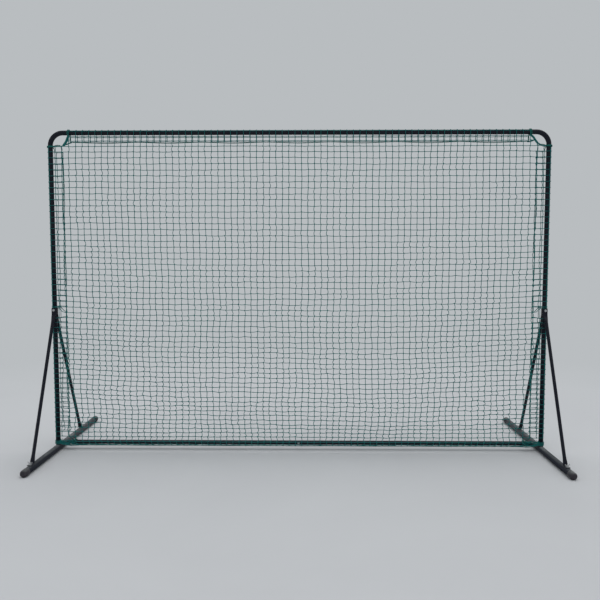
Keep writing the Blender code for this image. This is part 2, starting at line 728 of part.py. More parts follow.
for SIDE in (-1, 1):
    frame_tube(SIDE)
    bottom_rail(SIDE)
    foot_bar(SIDE)
    for FACING in (-1, 1):
        stay(SIDE, FACING)
        foot_cap(SIDE, FACING)
NUT = wing_nut()
for SIDE in (-1, 1):
    stay_fastenings(SIDE, NUT)
    foot_fastenings(SIDE, NUT)
joint_fastenings("top", POST_Y, RAIL_Z, TUBE_R, PAINT)
joint_fastenings("bottom", BOTTOM_Y, PRESSED_Z, BOTTOM_R, ZINC)
net()
border_ropes()
corner_ties()
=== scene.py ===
"""Baseball field divider fence: painted tubes, zinc hardware, rubber caps, ropes and the knotted net.

Metres, +Z up. +X runs along the fence and -Y is its front. The origin is the middle of the base on the floor.
"""

import json
import math
import random

import bmesh
import bpy
from mathutils import Matrix, Vector, noise


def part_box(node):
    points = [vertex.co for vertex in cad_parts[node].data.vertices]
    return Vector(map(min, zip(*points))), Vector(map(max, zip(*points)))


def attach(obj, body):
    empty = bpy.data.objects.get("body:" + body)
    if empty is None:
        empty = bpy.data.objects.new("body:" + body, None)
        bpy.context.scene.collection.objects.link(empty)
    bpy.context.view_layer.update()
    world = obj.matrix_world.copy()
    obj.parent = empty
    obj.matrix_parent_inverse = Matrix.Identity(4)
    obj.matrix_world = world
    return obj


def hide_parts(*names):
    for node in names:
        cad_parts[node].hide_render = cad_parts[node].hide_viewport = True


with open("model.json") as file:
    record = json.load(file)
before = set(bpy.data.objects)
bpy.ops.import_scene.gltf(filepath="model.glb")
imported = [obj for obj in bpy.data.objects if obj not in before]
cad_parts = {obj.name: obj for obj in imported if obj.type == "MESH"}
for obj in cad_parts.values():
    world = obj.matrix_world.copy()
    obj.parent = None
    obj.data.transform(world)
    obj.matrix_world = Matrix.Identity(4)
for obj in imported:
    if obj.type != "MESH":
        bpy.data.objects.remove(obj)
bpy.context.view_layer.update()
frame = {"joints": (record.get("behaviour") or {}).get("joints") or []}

PI = math.pi
TINY = 1e-5
# A face looks along an axis when its normal reaches this
FACING = 0.9
SMOOTH = math.radians(40)
HALF_TURN = Matrix.Rotation(PI, 4, "Z")

# Sizes taken from the frame
RIGHT_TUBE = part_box("right_frame_tube")
TUBE_R = (RIGHT_TUBE[1].y - RIGHT_TUBE[0].y) / 2
POST_X = RIGHT_TUBE[1].x - TUBE_R
POST_Y = (RIGHT_TUBE[0].y + RIGHT_TUBE[1].y) / 2
POST_FOOT = RIGHT_TUBE[0].z
RAIL_Z = RIGHT_TUBE[1].z - TUBE_R
JOINTS = {joint["child"]: joint for joint in frame["joints"]}
STUD_Y = {"front": JOINTS["front_right_stay_wing_nut"]["pos_m"][1],
          "rear": JOINTS["rear_right_stay_wing_nut"]["pos_m"][1],
          "rail": JOINTS["right_bottom_rail_wing_nut"]["pos_m"][1]}
BOTTOM_Y = STUD_Y["rail"]
STAY_BOLT_Z = JOINTS["right_stay_bolt_wing_nut"]["pos_m"][2]
STAY_SEAT_Z = JOINTS["front_right_stay_wing_nut"]["pos_m"][2]
RAIL_SEAT_Z = JOINTS["right_bottom_rail_wing_nut"]["pos_m"][2]

# Tubes
GAP = 0.0003
TUBE_WALL = 0.0012
TUBE_SIDES = 40
RAIL_SIDES = 36
STAY_SIDES = 32
STUB_SIDES = 32
FOOT_SIDES = 48
CORNER_R = 0.076
CORNER_STEPS = 16
JOINT_HALF = 0.035
JOINT_BORE = 2.5 * JOINT_HALF
SWAGE_TAPER = 0.004
SWAGE_PLAY = 0.0006
RIM_BEVEL = 0.0004
FOOT_R = 0.01905
FOOT_WALL = 0.0016
FOOT_Z = 0.0199
FOOT_TOP = FOOT_Z + FOOT_R
FOOT_HALF = 0.5892
STUB_R = 0.0123
STUB_TOP = FOOT_TOP + 0.090
STUB_SUNK = 0.008
STUB_CHAMFER = 0.001
STUB_WALL = 0.002
STUB_BORE = 0.060
STUB_POINT = 0.94
WELD_R = 0.0017
WELD_OFF = 0.0004
WELD_STEPS = 44
WELD_RIPPLE = 0.16
WELD_RIPPLES = 11
CAP_R = 0.0207
CAP_LENGTH = 0.050
CAP_END = 0.0105
CAP_ROUND = 0.0145
CAP_LIP = 0.0006

# Bars with pressed ends
BOTTOM_R = 0.0127
BOTTOM_FLAT = 0.028
BOTTOM_SWELL = 0.030
STAY_R = 0.00955
FLAT_HALF = 0.0017
FLAT_ENDS = 0.014
STAY_FLAT = 0.026
STAY_SWELL = 0.055
TAB_NOSE = 0.003
NOSE_WIDTH = 0.74
NOSE_THICKNESS = 0.9
BEFORE_JAWS = 3.5
SLOT_RIM = 0.0009
SLOT_DEPTH = 0.010
BEND_HALF = 0.003
PRESSED_Z = FOOT_TOP + GAP + FLAT_HALF

# Hardware
BOLT_R = 0.0039
JOINT_BOLT_R = 0.0029
THREAD_PITCH = 0.00125
THREAD_DEPTH = 0.0007
THREAD_POINT = 0.0008
STUD_ROOT = 0.002
STUD_POINT = 0.8
BOLT_POINT = 0.78
STAY_THREAD = 0.022
JOINT_THREAD = 0.012
HEAD_R = 0.0080
HEAD_HEIGHT = 0.0045
DOME_SHARE = 0.86
DOME_PROFILE = 0.55
JOINT_HEAD_R = 0.0070
JOINT_HEAD_HEIGHT = 0.0035
JOINT_NUT_R = 0.0058
JOINT_NUT_HEIGHT = 0.005
JOINT_NUT_BEVEL = 0.0005
WASHER_R = 0.0105
WASHER_THICKNESS = 0.0016
WASHER_BEVEL = 0.0004
HOLE_R = 0.0044
DRILL_REACH = 0.010
DRILL_SIDES = 24
STUD_SIDES = 20
HEAD_SIDES = 28
WASHER_SIDES = 36
NUT_SIDES = 32
STUD_SPARE = 0.004
NUT_R = 0.0070
NUT_HEIGHT = 0.0085
NUT_TAPER = 0.0012
NUT_BEVEL = 0.0008
STAY_NUT_TURN = math.radians(35)
FOOT_NUT_TURN = math.radians(20)


def deselect():
    bpy.ops.object.select_all(action="DESELECT")


def start(add, **settings):
    """Adds a primitive with nothing else selected, puts its place in its mesh and opens it in edit mode."""
    deselect()
    add(**settings)
    bpy.ops.object.transform_apply()
    bpy.ops.object.mode_set(mode="EDIT")
    bpy.ops.mesh.select_mode(type="VERT")
    bpy.ops.mesh.select_all(action="SELECT")


def start_ring(sides, radius, place, turned=(0, 0, 0)):
    start(bpy.ops.mesh.primitive_circle_add, vertices=sides, radius=radius, location=place, rotation=turned)


def start_disc(sides, radius, height):
    """A solid disc that stands on z = 0."""
    start(bpy.ops.mesh.primitive_cylinder_add, vertices=sides, radius=radius, depth=height,
          location=(0, 0, height / 2))


def pick(test, kind="FACE"):
    """Selects only the faces whose centre and normal pass the test, or the corners or edges that pass it."""
    bpy.ops.mesh.select_mode(type=kind)
    bpy.ops.mesh.select_all(action="DESELECT")
    bm = bmesh.from_edit_mesh(bpy.context.object.data)
    if kind == "FACE":
        for face in bm.faces:
            face.select_set(test(face.calc_center_median(), face.normal))
    elif kind == "EDGE":
        for edge in bm.edges:
            edge.select_set(all(test(corner.co) for corner in edge.verts))
    else:
        for corner in bm.verts:
            corner.select_set(test(corner.co))
        bm.select_flush_mode()
    bmesh.update_edit_mesh(bpy.context.object.data)


def pull(offset):
    """Extrudes what is selected and moves it."""
    bpy.ops.mesh.extrude_region_move(TRANSFORM_OT_translate={"value": offset})


def widen(factors, centre):
    bpy.ops.transform.resize(value=factors, center_override=centre)


def turn(angle, axis, centre):
    """Turns what is selected by the right-hand rule."""
    bpy.ops.transform.rotate(value=-angle, orient_axis=axis, center_override=centre)


def fill():
    """Closes the ring that is selected with one face."""
    bpy.ops.mesh.edge_face_add()


def inset(thickness):
    bpy.ops.mesh.inset(thickness=thickness)


def pull_inside(test, rim, offset):
    """Insets the face that passes the test by a rim, and pulls what is inside the rim."""
    pick(test)
    inset(rim)
    pull(offset)


def rounded(test, offset, segments, **shape):
    """Bevels the edges that pass the test."""
    pick(test, "EDGE")
    bpy.ops.mesh.bevel(offset=offset, segments=segments, **shape)


def named(obj, name):
    obj.name = name
    obj.data.name = name
    return obj


def close(name, smooth=SMOOTH):
    """Leaves edit mode with the mesh merged and facing out, and gives the finished piece its name."""
    bpy.ops.mesh.select_all(action="SELECT")
    bpy.ops.mesh.remove_doubles(threshold=TINY / 10)
    bpy.ops.mesh.normals_make_consistent(inside=False)
    bpy.ops.object.mode_set(mode="OBJECT")
    bpy.ops.object.shade_smooth_by_angle(angle=smooth)
    return named(bpy.context.object, name)


def only(obj):
    deselect()
    obj.select_set(True)
    bpy.context.view_layer.objects.active = obj


def apply_modifier(obj, kind, **settings):
    only(obj)
    step = obj.modifiers.new(kind.lower(), kind)
    for key, value in settings.items():
        setattr(step, key, value)
    bpy.ops.object.modifier_apply(modifier=step.name)


def walled(obj, wall):
    """Gives an open tube its wall, inwards."""
    apply_modifier(obj, "SOLIDIFY", thickness=wall, offset=-1.0, use_even_offset=True)


def drilled(obj, radius, centre, reach):
    """Drills a round hole through a point, from this far before it to as far past it."""
    reach = Vector(reach)
    deselect()
    bpy.ops.mesh.primitive_cylinder_add(vertices=DRILL_SIDES, radius=radius, depth=2 * reach.length,
                                        location=centre, rotation=reach.to_track_quat("Z", "Y").to_euler())
    drill = bpy.context.object
    bpy.context.view_layer.update()
    apply_modifier(obj, "BOOLEAN", object=drill, operation="DIFFERENCE")
    bpy.data.objects.remove(drill)


def put(obj, matrix):
    """Moves a finished shape to its place and keeps the place in the mesh."""
    only(obj)
    obj.matrix_world = matrix
    bpy.ops.object.transform_apply()
    return obj


def copied(obj, name, matrix):
    """Another piece of the same shape, with a mesh of its own."""
    made = obj.copy()
    made.data = obj.data.copy()
    bpy.context.scene.collection.objects.link(named(made, name))
    return put(made, matrix)


def piece(obj, finish, node=None, body="frame"):
    """A finished piece: its finish, the node that it stands for, if any, and the body it rides on."""
    material, slot, surface = finish
    obj.data.materials.clear()
    obj.data.materials.append(material)
    if node:
        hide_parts(node)
        if not obj.name.startswith("net_"):
            named(obj, f"{node}_{surface}")
    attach(obj, body)
    return obj


def word(side):
    return "left" if side < 0 else "right"


def linked(name, data):
    """A new object in the scene."""
    made = bpy.data.objects.new(name, data)
    bpy.context.scene.collection.objects.link(made)
    return made


def eased(value, low, high):
    """0 up to low, 1 from high, and a smooth rise between them."""
    share = min(1.0, max(0.0, (value - low) / (high - low)))
    return share * share * (3 - 2 * share)


# Finishes

def node(tree, kind, inputs=None, **settings):
    """A node with its settings, and its inputs as values or as links from other sockets."""
    made = tree.nodes.new(kind)
    for key, value in settings.items():
        setattr(made, key, value)
    for key, value in (inputs or {}).items():
        if isinstance(value, bpy.types.NodeSocket):
            tree.links.new(value, made.inputs[key])
        else:
            made.inputs[key].default_value = value
    return made


def group(name, inputs, outputs):
    """A node group with named sockets. Returns it with the nodes that hold them."""
    tree = bpy.data.node_groups.new(name, "ShaderNodeTree")
    for title, kind, value in inputs:
        socket = tree.interface.new_socket(title, in_out="INPUT", socket_type="NodeSocket" + kind)
        if value is not None:
            socket.default_value = value
    for title, kind in outputs:
        tree.interface.new_socket(title, in_out="OUTPUT", socket_type="NodeSocket" + kind)
    return tree, tree.nodes.new("NodeGroupInput"), tree.nodes.new("NodeGroupOutput")


def mixed(tree, share, first, second):
    return node(tree, "ShaderNodeMix", {0: share, 6: first, 7: second}, data_type="RGBA").outputs[2]


def calculated(tree, operation, first, second=0.0, clamp=False):
    return node(tree, "ShaderNodeMath", {0: first, 1: second}, operation=operation,
                use_clamp=clamp).outputs[0]


def ranged(tree, value, low, high, to_low=0.0, to_high=1.0):
    return node(tree, "ShaderNodeMapRange", {"Value": value, "From Min": low, "From Max": high,
                                             "To Min": to_low, "To Max": to_high}).outputs["Result"]


def noisy(tree, place, scale, detail, **inputs):
    return node(tree, "ShaderNodeTexNoise", {"Vector": place, "Scale": scale, "Detail": detail,
                                             **inputs}).outputs[0]


def bumped(tree, strength, distance, height):
    return node(tree, "ShaderNodeBump", {"Strength": strength, "Distance": distance,
                                         "Height": height}).outputs[0]


def use(tree, made, *values, **named_values):
    """A node of a group, with its first inputs in order and the others by name."""
    return node(tree, "ShaderNodeGroup", {**dict(enumerate(values)), **named_values}, node_tree=made)


def put_out(tree, out, *sockets):
    """Links sockets to the inputs of an output node, in order."""
    for index, socket in enumerate(sockets):
        tree.links.new(socket, out.inputs[index])


def mottle_group():
    """Slow patches in a colour, from one noise over another."""
    tree, given, out = group("mottle", (("Coordinates", "Vector", None), ("Scale", "Float", 10.0),
                                        ("Colour", "Color", (0.5, 0.5, 0.5, 1)),
                                        ("Patch Colour", "Color", (0.4, 0.4, 0.4, 1)),
                                        ("Amount", "Float", 0.5)), (("Colour", "Color"), ("Mask", "Float")))
    place, scale, colour, patch, amount = given.outputs[:5]
    mask = ranged(tree, noisy(tree, place, scale, 5.0, Roughness=0.6), 0.42, 0.66)
    share = calculated(tree, "MULTIPLY", mask, amount, clamp=True)
    put_out(tree, out, mixed(tree, share, colour, patch), mask)
    return tree


def speckle_group():
    """Small worn or dirty spots, more of them where a slow noise is high."""
    tree, given, out = group("speckle", (("Coordinates", "Vector", None), ("Scale", "Float", 300.0),
                                         ("Cover", "Float", 0.2)), (("Mask", "Float"),))
    place, scale, cover = given.outputs[:3]
    fine = noisy(tree, place, scale, 3.0, Roughness=0.7)
    slow = noisy(tree, place, calculated(tree, "MULTIPLY", scale, 0.07), 2.0)
    both = calculated(tree, "MULTIPLY", fine, slow)
    over = calculated(tree, "SUBTRACT", both, ranged(tree, cover, 0.0, 1.0, 0.48, 0.16))
    put_out(tree, out, calculated(tree, "MULTIPLY", over, 25.0, clamp=True))
    return tree


def grain_group():
    """Normal of a finely uneven surface."""
    tree, given, out = group("grain", (("Coordinates", "Vector", None), ("Scale", "Float", 800.0),
                                       ("Depth", "Float", 0.1)), (("Normal", "Vector"),))
    place, scale, depth = given.outputs[:3]
    height = calculated(tree, "MULTIPLY", noisy(tree, place, scale, 3.0, Roughness=0.55), depth)
    put_out(tree, out, bumped(tree, 0.6, 0.0006, height))
    return tree


def lay_group():
    """Twisted fibres along a twine: its UV runs in metres along it and once around it."""
    tree, given, out = group("fibre_lay", (("Turns", "Float", 120.0), ("Fibres", "Float", 3.0)),
                             (("Mask", "Float"), ("Height", "Float"), ("Shade", "Float")))
    place = node(tree, "ShaderNodeSeparateXYZ", {0: node(tree, "ShaderNodeUVMap", uv_map="UVMap").outputs[0]})
    along, around = (calculated(tree, "MULTIPLY", place.outputs[index], given.outputs[index])
                     for index in (0, 1))
    turned = calculated(tree, "ADD", along, around)
    angles = (calculated(tree, "MULTIPLY", turned, angle) for angle in (2 * PI, 14 * PI))
    wave, threads = (ranged(tree, calculated(tree, "SINE", angle), -1.0, 1.0) for angle in angles)
    both = calculated(tree, "ADD", wave, calculated(tree, "MULTIPLY", threads, 0.25))
    put_out(tree, out, wave, both, threads)
    return tree


def dust_and_top_highlight_group():
    """Dust and a painted highlight, in uneven patches where a surface faces up: the top of a thing drawn
    lighter.
    """
    tree, given, out = group("dust_and_highlight", (("Coordinates", "Vector", None), ("Scale", "Float", 60.0),
                                      ("Share", "Float", 0.5)), (("Mask", "Float"),))
    place, scale, share = given.outputs[:3]
    up = node(tree, "ShaderNodeSeparateXYZ", {0: node(tree, "ShaderNodeNewGeometry").outputs["Normal"]})
    patches = use(tree, SPECKLE, place, scale, Cover=0.7).outputs[0]
    cover = calculated(tree, "MULTIPLY", ranged(tree, patches, 0.0, 1.0, 0.5, 1.0), share)
    put_out(tree, out, calculated(tree, "MULTIPLY", ranged(tree, up.outputs[2], 0.45, 0.95), cover))
    return tree


# Colours of the finishes
# Lighter colour where the paint faces up: dust, and a painted highlight on the tops
PAINT_DUST_AND_HIGHLIGHT = (0.160, 0.172, 0.176, 1)
CHIPPED = (0.16, 0.14, 0.13, 1)
ZINC_COLOURS = ((0.51, 0.52, 0.52, 1), (0.33, 0.34, 0.355, 1))
DIRT = (0.22, 0.195, 0.17, 1)
RUBBER_COLOURS = ((0.020, 0.018, 0.025, 1), (0.050, 0.045, 0.052, 1))
# Dust and a painted highlight on the rubber's top
RUBBER_DUST_AND_HIGHLIGHT = (0.160, 0.172, 0.170, 1)
SCUFFED = (0.105, 0.098, 0.098, 1)
# Fibres: the colour, its patches and the painted shade in the hollows between the fibres
TWINE_COLOURS = ((0.015, 0.195, 0.184, 1), (0.016, 0.152, 0.168, 1), (0.009, 0.080, 0.077, 1))
ROPE_COLOURS = ((0.018, 0.170, 0.140, 1), (0.022, 0.135, 0.125, 1), (0.008, 0.060, 0.053, 1))

MOTTLE = mottle_group()
SPECKLE = speckle_group()
GRAIN = grain_group()
LAY = lay_group()
DUST_AND_TOP_HIGHLIGHT = dust_and_top_highlight_group()


def finish(name, **sockets):
    """A material with its Principled BSDF set, and the object coordinates that its patterns read."""
    made = bpy.data.materials.new(name)
    made.use_nodes = True
    tree = made.node_tree
    shader = tree.nodes["Principled BSDF"]
    for key, value in sockets.items():
        shader.inputs[key.replace("_", " ")].default_value = value
    return made, tree, shader, node(tree, "ShaderNodeTexCoord").outputs["Object"]


def surfaced(tree, shader, colour, rough, normal):
    """Links what a finish has worked out to its shader."""
    for title, socket in (("Base Color", colour), ("Roughness", rough), ("Normal", normal)):
        tree.links.new(socket, shader.inputs[title])


def painted_steel(name, colour, patch, dust_and_highlight_share):
    """Satin blue-black paint, with dust and a painted highlight where it faces up, and chipped to bare steel
    here and there.
    """
    made, tree, shader, here = finish(name, Specular_IOR_Level=0.16)
    base = use(tree, MOTTLE, here, 7.0, colour, patch, Amount=0.7)
    # Lighter where it faces up: dust and a painted highlight
    dust_and_highlight = use(tree, DUST_AND_TOP_HIGHLIGHT, here, Scale=60.0, Share=dust_and_highlight_share).outputs[0]
    with_dust_and_highlight = mixed(tree, dust_and_highlight, base.outputs[0], PAINT_DUST_AND_HIGHLIGHT)
    chips = use(tree, SPECKLE, here, Scale=420.0, Cover=0.13).outputs[0]
    worn = ranged(tree, base.outputs[1], 0.0, 1.0, 0.40, 0.52)
    rough = calculated(tree, "ADD", worn, calculated(tree, "MULTIPLY", dust_and_highlight, 0.8), clamp=True)
    surfaced(tree, shader, mixed(tree, chips, with_dust_and_highlight, CHIPPED), rough,
             use(tree, GRAIN, here, Scale=620.0, Depth=0.16).outputs[0])
    return made


def zinc_plate():
    """Zinc gone dull outdoors, with its cloudy spangle and a little dirt."""
    made, tree, shader, here = finish("zinc_plate", Metallic=1.0)
    base = use(tree, MOTTLE, here, 260.0, *ZINC_COLOURS, Amount=0.8)
    dirt = use(tree, SPECKLE, here, Scale=700.0, Cover=0.3).outputs[0]
    plain = ranged(tree, base.outputs[1], 0.0, 1.0, 0.30, 0.46)
    rough = calculated(tree, "ADD", plain, calculated(tree, "MULTIPLY", dirt, 0.2))
    surfaced(tree, shader, mixed(tree, dirt, base.outputs[0], DIRT), rough,
             use(tree, GRAIN, here, Scale=1500.0, Depth=0.12).outputs[0])
    return made


def moulded_rubber():
    """Matt black rubber, greyed by dust and by a painted highlight on its top, with a fine moulded grain."""
    made, tree, shader, here = finish("moulded_rubber", Specular_IOR_Level=0.35)
    base = use(tree, MOTTLE, here, 55.0, *RUBBER_COLOURS, Amount=0.7)
    scuffs = use(tree, SPECKLE, here, Scale=500.0, Cover=0.35).outputs[0]
    # Lighter on the cap's top: dust and a painted highlight
    dust_and_highlight = use(tree, DUST_AND_TOP_HIGHLIGHT, here, Scale=90.0, Share=0.75).outputs[0]
    colour = mixed(tree, dust_and_highlight, mixed(tree, scuffs, base.outputs[0], SCUFFED), RUBBER_DUST_AND_HIGHLIGHT)
    surfaced(tree, shader, colour, ranged(tree, base.outputs[1], 0.0, 1.0, 0.58, 0.78),
             use(tree, GRAIN, here, Scale=1300.0, Depth=0.35).outputs[0])
    return made


def laid_fibre(name, colours, turns, fibres):
    """Twisted polyethylene: its colour on the crown of each fibre, a painted shade in the hollows between
    them, with a slight sheen.
    """
    made, tree, shader, here = finish(name, Sheen_Weight=0.05, Sheen_Roughness=0.4, Specular_IOR_Level=0.12)
    colour, patch, painted_hollow_shade = colours
    base = use(tree, MOTTLE, here, 5.0, colour, patch, Amount=0.8).outputs[0]
    lay = use(tree, LAY, turns, fibres)
    # Painted shade: the colour darkens to the hollow colour between the fibres
    shade = ranged(tree, lay.outputs[0], 0.0, 1.0, 0.65, 0.0)
    rough = ranged(tree, lay.outputs[2], 0.0, 1.0, 0.62, 0.48)
    surfaced(tree, shader, mixed(tree, shade, base, painted_hollow_shade), rough, bumped(tree, 0.8, 0.0005, lay.outputs[1]))
    return made


# Each finish: its material, the record's slot and the word that ends its pieces' names
BLUE_BLACK = painted_steel("blue_black_paint", (0.0070, 0.0083, 0.0160, 1), (0.0130, 0.0147, 0.0215, 1), 0.22)
# The feet: a lighter copy of the same black paint, with far more dust and painted highlight on their tops
FOOT_BLACK = painted_steel("lighter_foot_paint_dust_and_highlight", (0.0190, 0.0215, 0.0310, 1), (0.0280, 0.0310, 0.0400, 1), 0.95)
PAINT = (BLUE_BLACK, "black_paint", "painted")
FOOT_PAINT = (FOOT_BLACK, "black_paint", "painted")
ZINC = (zinc_plate(), "zinc", "plated")
RUBBER = (moulded_rubber(), "black_rubber", "moulded")
TWINE = (laid_fibre("green_net_twine", TWINE_COLOURS, 150.0, 3.0), "green_twine", "knotted")
ROPE = (laid_fibre("green_rope_strand", ROPE_COLOURS, 260.0, 2.0), "green_rope", "laid")


# Camera, floor and light

LENS = 38.4
SENSOR = 36.0
CAMERA_PLACE = (0.060, -3.969, 1.209)
CAMERA_TURN = (PI / 2 - 0.071, 0, 0.013)
FLOOR_HALF = 30.0
FLOOR_COLOURS = ((0.490, 0.500, 0.520, 1), (0.510, 0.521, 0.540, 1))
DISTANT_GREY = (0.485, 0.509, 0.527, 1)
EVEN_FROM = (2.0, 4.4)
SKY_COLOUR = (0.95, 0.98, 1.0, 1)
SKY_STRENGTH = 0.76
SUN_COLOUR = (1.0, 0.98, 0.95)
SUN_STRENGTH = 1.06
SUN_SPREAD = math.radians(50)
SUN_TURN = (math.radians(-12), math.radians(8), 0)


def camera():
    made = linked("camera", bpy.data.cameras.new("camera"))
    made.data.lens = LENS
    made.data.sensor_width = SENSOR
    made.location = CAMERA_PLACE
    made.rotation_euler = CAMERA_TURN
    bpy.context.scene.camera = made


def seen_directly(tree):
    """1 for the rays that see the even grey: those from the camera, and off or through shiny surfaces."""
    rays = node(tree, "ShaderNodeLightPath")
    seen = calculated(tree, "MAXIMUM", rays.outputs["Is Camera Ray"], rays.outputs["Is Glossy Ray"])
    return calculated(tree, "MAXIMUM", seen, rays.outputs["Is Transmission Ray"])


def even_grey(tree, kind, share, own, output):
    """Shows the even grey in the place of an own shader, by this share."""
    distant = node(tree, kind, {"Color": DISTANT_GREY, "Strength": 1.0})
    both = node(tree, "ShaderNodeMixShader", {0: share, 1: own.outputs[0], 2: distant.outputs[0]})
    tree.links.new(both.outputs[0], tree.nodes[output].inputs["Surface"])


def floor_cloth():
    """Pale grey cloth. It takes the light and the shadow near the fence, and is one even grey further off."""
    made, tree, shader, here = finish("floor_cloth", Roughness=0.9, Specular_IOR_Level=0.1)
    share = ranged(tree, noisy(tree, here, 0.9, 3.0, Distortion=0.6), 0.3, 0.7)
    tree.links.new(mixed(tree, share, *FLOOR_COLOURS), shader.inputs["Base Color"])
    length = node(tree, "ShaderNodeVectorMath", {0: here}, operation="LENGTH").outputs["Value"]
    even = calculated(tree, "MULTIPLY", seen_directly(tree), ranged(tree, length, *EVEN_FROM))
    even_grey(tree, "ShaderNodeEmission", even, shader, "Material Output")
    return made


def stage():
    deselect()
    bpy.ops.mesh.primitive_grid_add(x_subdivisions=12, y_subdivisions=12, size=2 * FLOOR_HALF)
    floor = bpy.context.object
    floor.name = "floor"
    floor.data.materials.append(floor_cloth())


def lights():
    world = bpy.data.worlds.new("soft_sky")
    bpy.context.scene.world = world
    world.use_nodes = True
    tree = world.node_tree
    sky = tree.nodes["Background"]
    sky.inputs["Color"].default_value = SKY_COLOUR
    sky.inputs["Strength"].default_value = SKY_STRENGTH
    even_grey(tree, "ShaderNodeBackground", seen_directly(tree), sky, "World Output")
    sun = linked("soft_key", bpy.data.lights.new("soft_key", "SUN"))
    sun.data.energy = SUN_STRENGTH
    sun.data.angle = SUN_SPREAD
    sun.data.color = SUN_COLOUR
    sun.rotation_euler = SUN_TURN
    bpy.context.scene.view_settings.view_transform = "Standard"


# Tubes

def frame_tube(side):
    """Post, bent corner and half of the top rail in one tube. The left one ends in the swaged joint."""
    name = f"{word(side)}_frame_tube"
    bend_x = side * (POST_X - CORNER_R)
    bend_z = RAIL_Z - CORNER_R
    start_ring(TUBE_SIDES, TUBE_R, (side * POST_X, POST_Y, POST_FOOT))
    pull((0, 0, bend_z - POST_FOOT))
    bpy.ops.mesh.spin(steps=CORNER_STEPS, angle=side * PI / 2, axis=(0, 1, 0),
                      center=(bend_x, POST_Y, bend_z))
    if side < 0:
        swage(bend_x)
    else:
        narrowed = 1 - RIM_BEVEL / TUBE_R
        pull((-JOINT_HALF + RIM_BEVEL - bend_x, 0, 0))
        pull((-RIM_BEVEL, 0, 0))
        widen((1, narrowed, narrowed), (0, POST_Y, RAIL_Z))
    tube = close(name)
    walled(tube, TUBE_WALL)
    drilled(tube, HOLE_R, (side * POST_X, POST_Y, STAY_BOLT_Z), (0, 2 * TUBE_R, 0))
    drilled(tube, JOINT_BOLT_R + GAP, (0, POST_Y, RAIL_Z), (0, 2 * TUBE_R, 0))
    piece(tube, PAINT, name)


def swage(reached):
    """Runs the top rail's ring up to the seam, and draws it in to fit inside the other half."""
    inside = (TUBE_R - TUBE_WALL - SWAGE_PLAY) / TUBE_R
    seam = -JOINT_HALF - GAP
    pull((seam - SWAGE_TAPER - reached, 0, 0))
    pull((SWAGE_TAPER, 0, 0))
    widen((1, inside, inside), (0, POST_Y, RAIL_Z))
    pull((JOINT_HALF - GAP - seam, 0, 0))


def press_stations(radius, flat, swell, steps=5):
    """(place, half width, half thickness) along one end, from its nose to the round tube. 0 is the bend."""
    # Pressed flat, the tube keeps its girth
    wide = (PI * radius - 2 * FLAT_HALF) / 2
    nose = -flat - FLAT_ENDS
    stations = [(nose, NOSE_WIDTH * wide, FLAT_HALF * NOSE_THICKNESS), (nose + TAB_NOSE, wide, FLAT_HALF)]
    for step in range(steps + 1):
        share = step / steps
        opened = eased(share, 0, 1)
        stations.append((swell * share, wide + (radius - wide) * opened,
                         FLAT_HALF + (radius - FLAT_HALF) * opened))
    return stations


def pressed_bar(stations, radius, sides):
    """A bar along X: a ring drawn through the stations, then squeezed between flat jaws at each one."""
    start_ring(sides, radius, (stations[0][0], 0, 0), (0, PI / 2, 0))
    fill()
    before = (radius, radius)
    for index, (x, wide, thick) in enumerate(stations):
        if index:
            pull((x - stations[index - 1][0], 0, 0))
        tall = min(radius, BEFORE_JAWS * thick)
        widen((1, wide / before[0], tall / before[1]), (x, 0, 0))
        before = (wide, tall)
    fill()
    for x, wide, thick in stations:
        for sign in (-1, 1):
            pick(lambda co: abs(co.x - x) < TINY and sign * co.z > thick, "VERT")
            widen((1, 1, 0), (x, 0, sign * thick))


def open_end(face_x, outwards, rim=SLOT_RIM, depth=SLOT_DEPTH):
    """Sinks the hole between the walls at one end of a bar: a thin slot where the end is pressed."""
    pull_inside(lambda centre, normal: abs(centre.x - face_x) < TINY and normal.x * outwards > FACING,
                rim, (-outwards * depth, 0, 0))


def bend(angle, places):
    """Turns all that lies past each place about Y, in equal steps, the furthest place first."""
    for x, past in places:
        pick(lambda co: (co.x - x) * past > TINY, "VERT")
        turn(angle / len(places), "Y", (x, 0, 0))


def stay():
    """The front left stay, along X from its top bend, with both ends pressed and bent."""
    top = Vector((-POST_X, POST_Y - TUBE_R - GAP - FLAT_HALF, STAY_BOLT_Z - STAY_FLAT))
    foot = Vector((-POST_X, STUD_Y["front"] + STAY_FLAT, PRESSED_Z))
    slope = (foot - top).normalized()
    length = (foot - top).length
    top_angle = math.acos(-slope.z)
    foot_angle = math.acos(-slope.y)
    end = press_stations(STAY_R, STAY_FLAT, STAY_SWELL)
    top_hinges, foot_hinges = hinges(top_angle), hinges(foot_angle)
    stations = with_bend(end, top_hinges)
    stations += [(length - x, wide, thick) for x, wide, thick in reversed(with_bend(end, foot_hinges))]
    pressed_bar(stations, STAY_R, STAY_SIDES)
    open_end(stations[0][0], -1)
    open_end(stations[-1][0], 1)
    bend(top_angle, [(x, -1) for x in top_hinges])
    bend(-foot_angle, [(length - x, 1) for x in foot_hinges])
    across = Vector((1, 0, 0))
    axes = Matrix((slope, across, slope.cross(across))).transposed()
    return put(close("front_left_stay"), Matrix.Translation(top) @ axes.to_4x4())


def hinges(angle):
    """The two lines that a tab bends about, the outer one first. The tab's plane stays where it is."""
    return (BEND_HALF - 2 * BEND_HALF * math.cos(angle / 2), BEND_HALF)


def with_bend(stations, lines):
    """The stations of an end with a ring on each bending line. The tab starts at the outer one."""
    outer, inner = lines
    nose = [(x + BEND_HALF + outer, wide, thick) for x, wide, thick in stations[:2]]
    wide, thick = stations[2][1:]
    return [*nose, (outer, wide, thick), (inner, wide, thick), *stations[3:]]


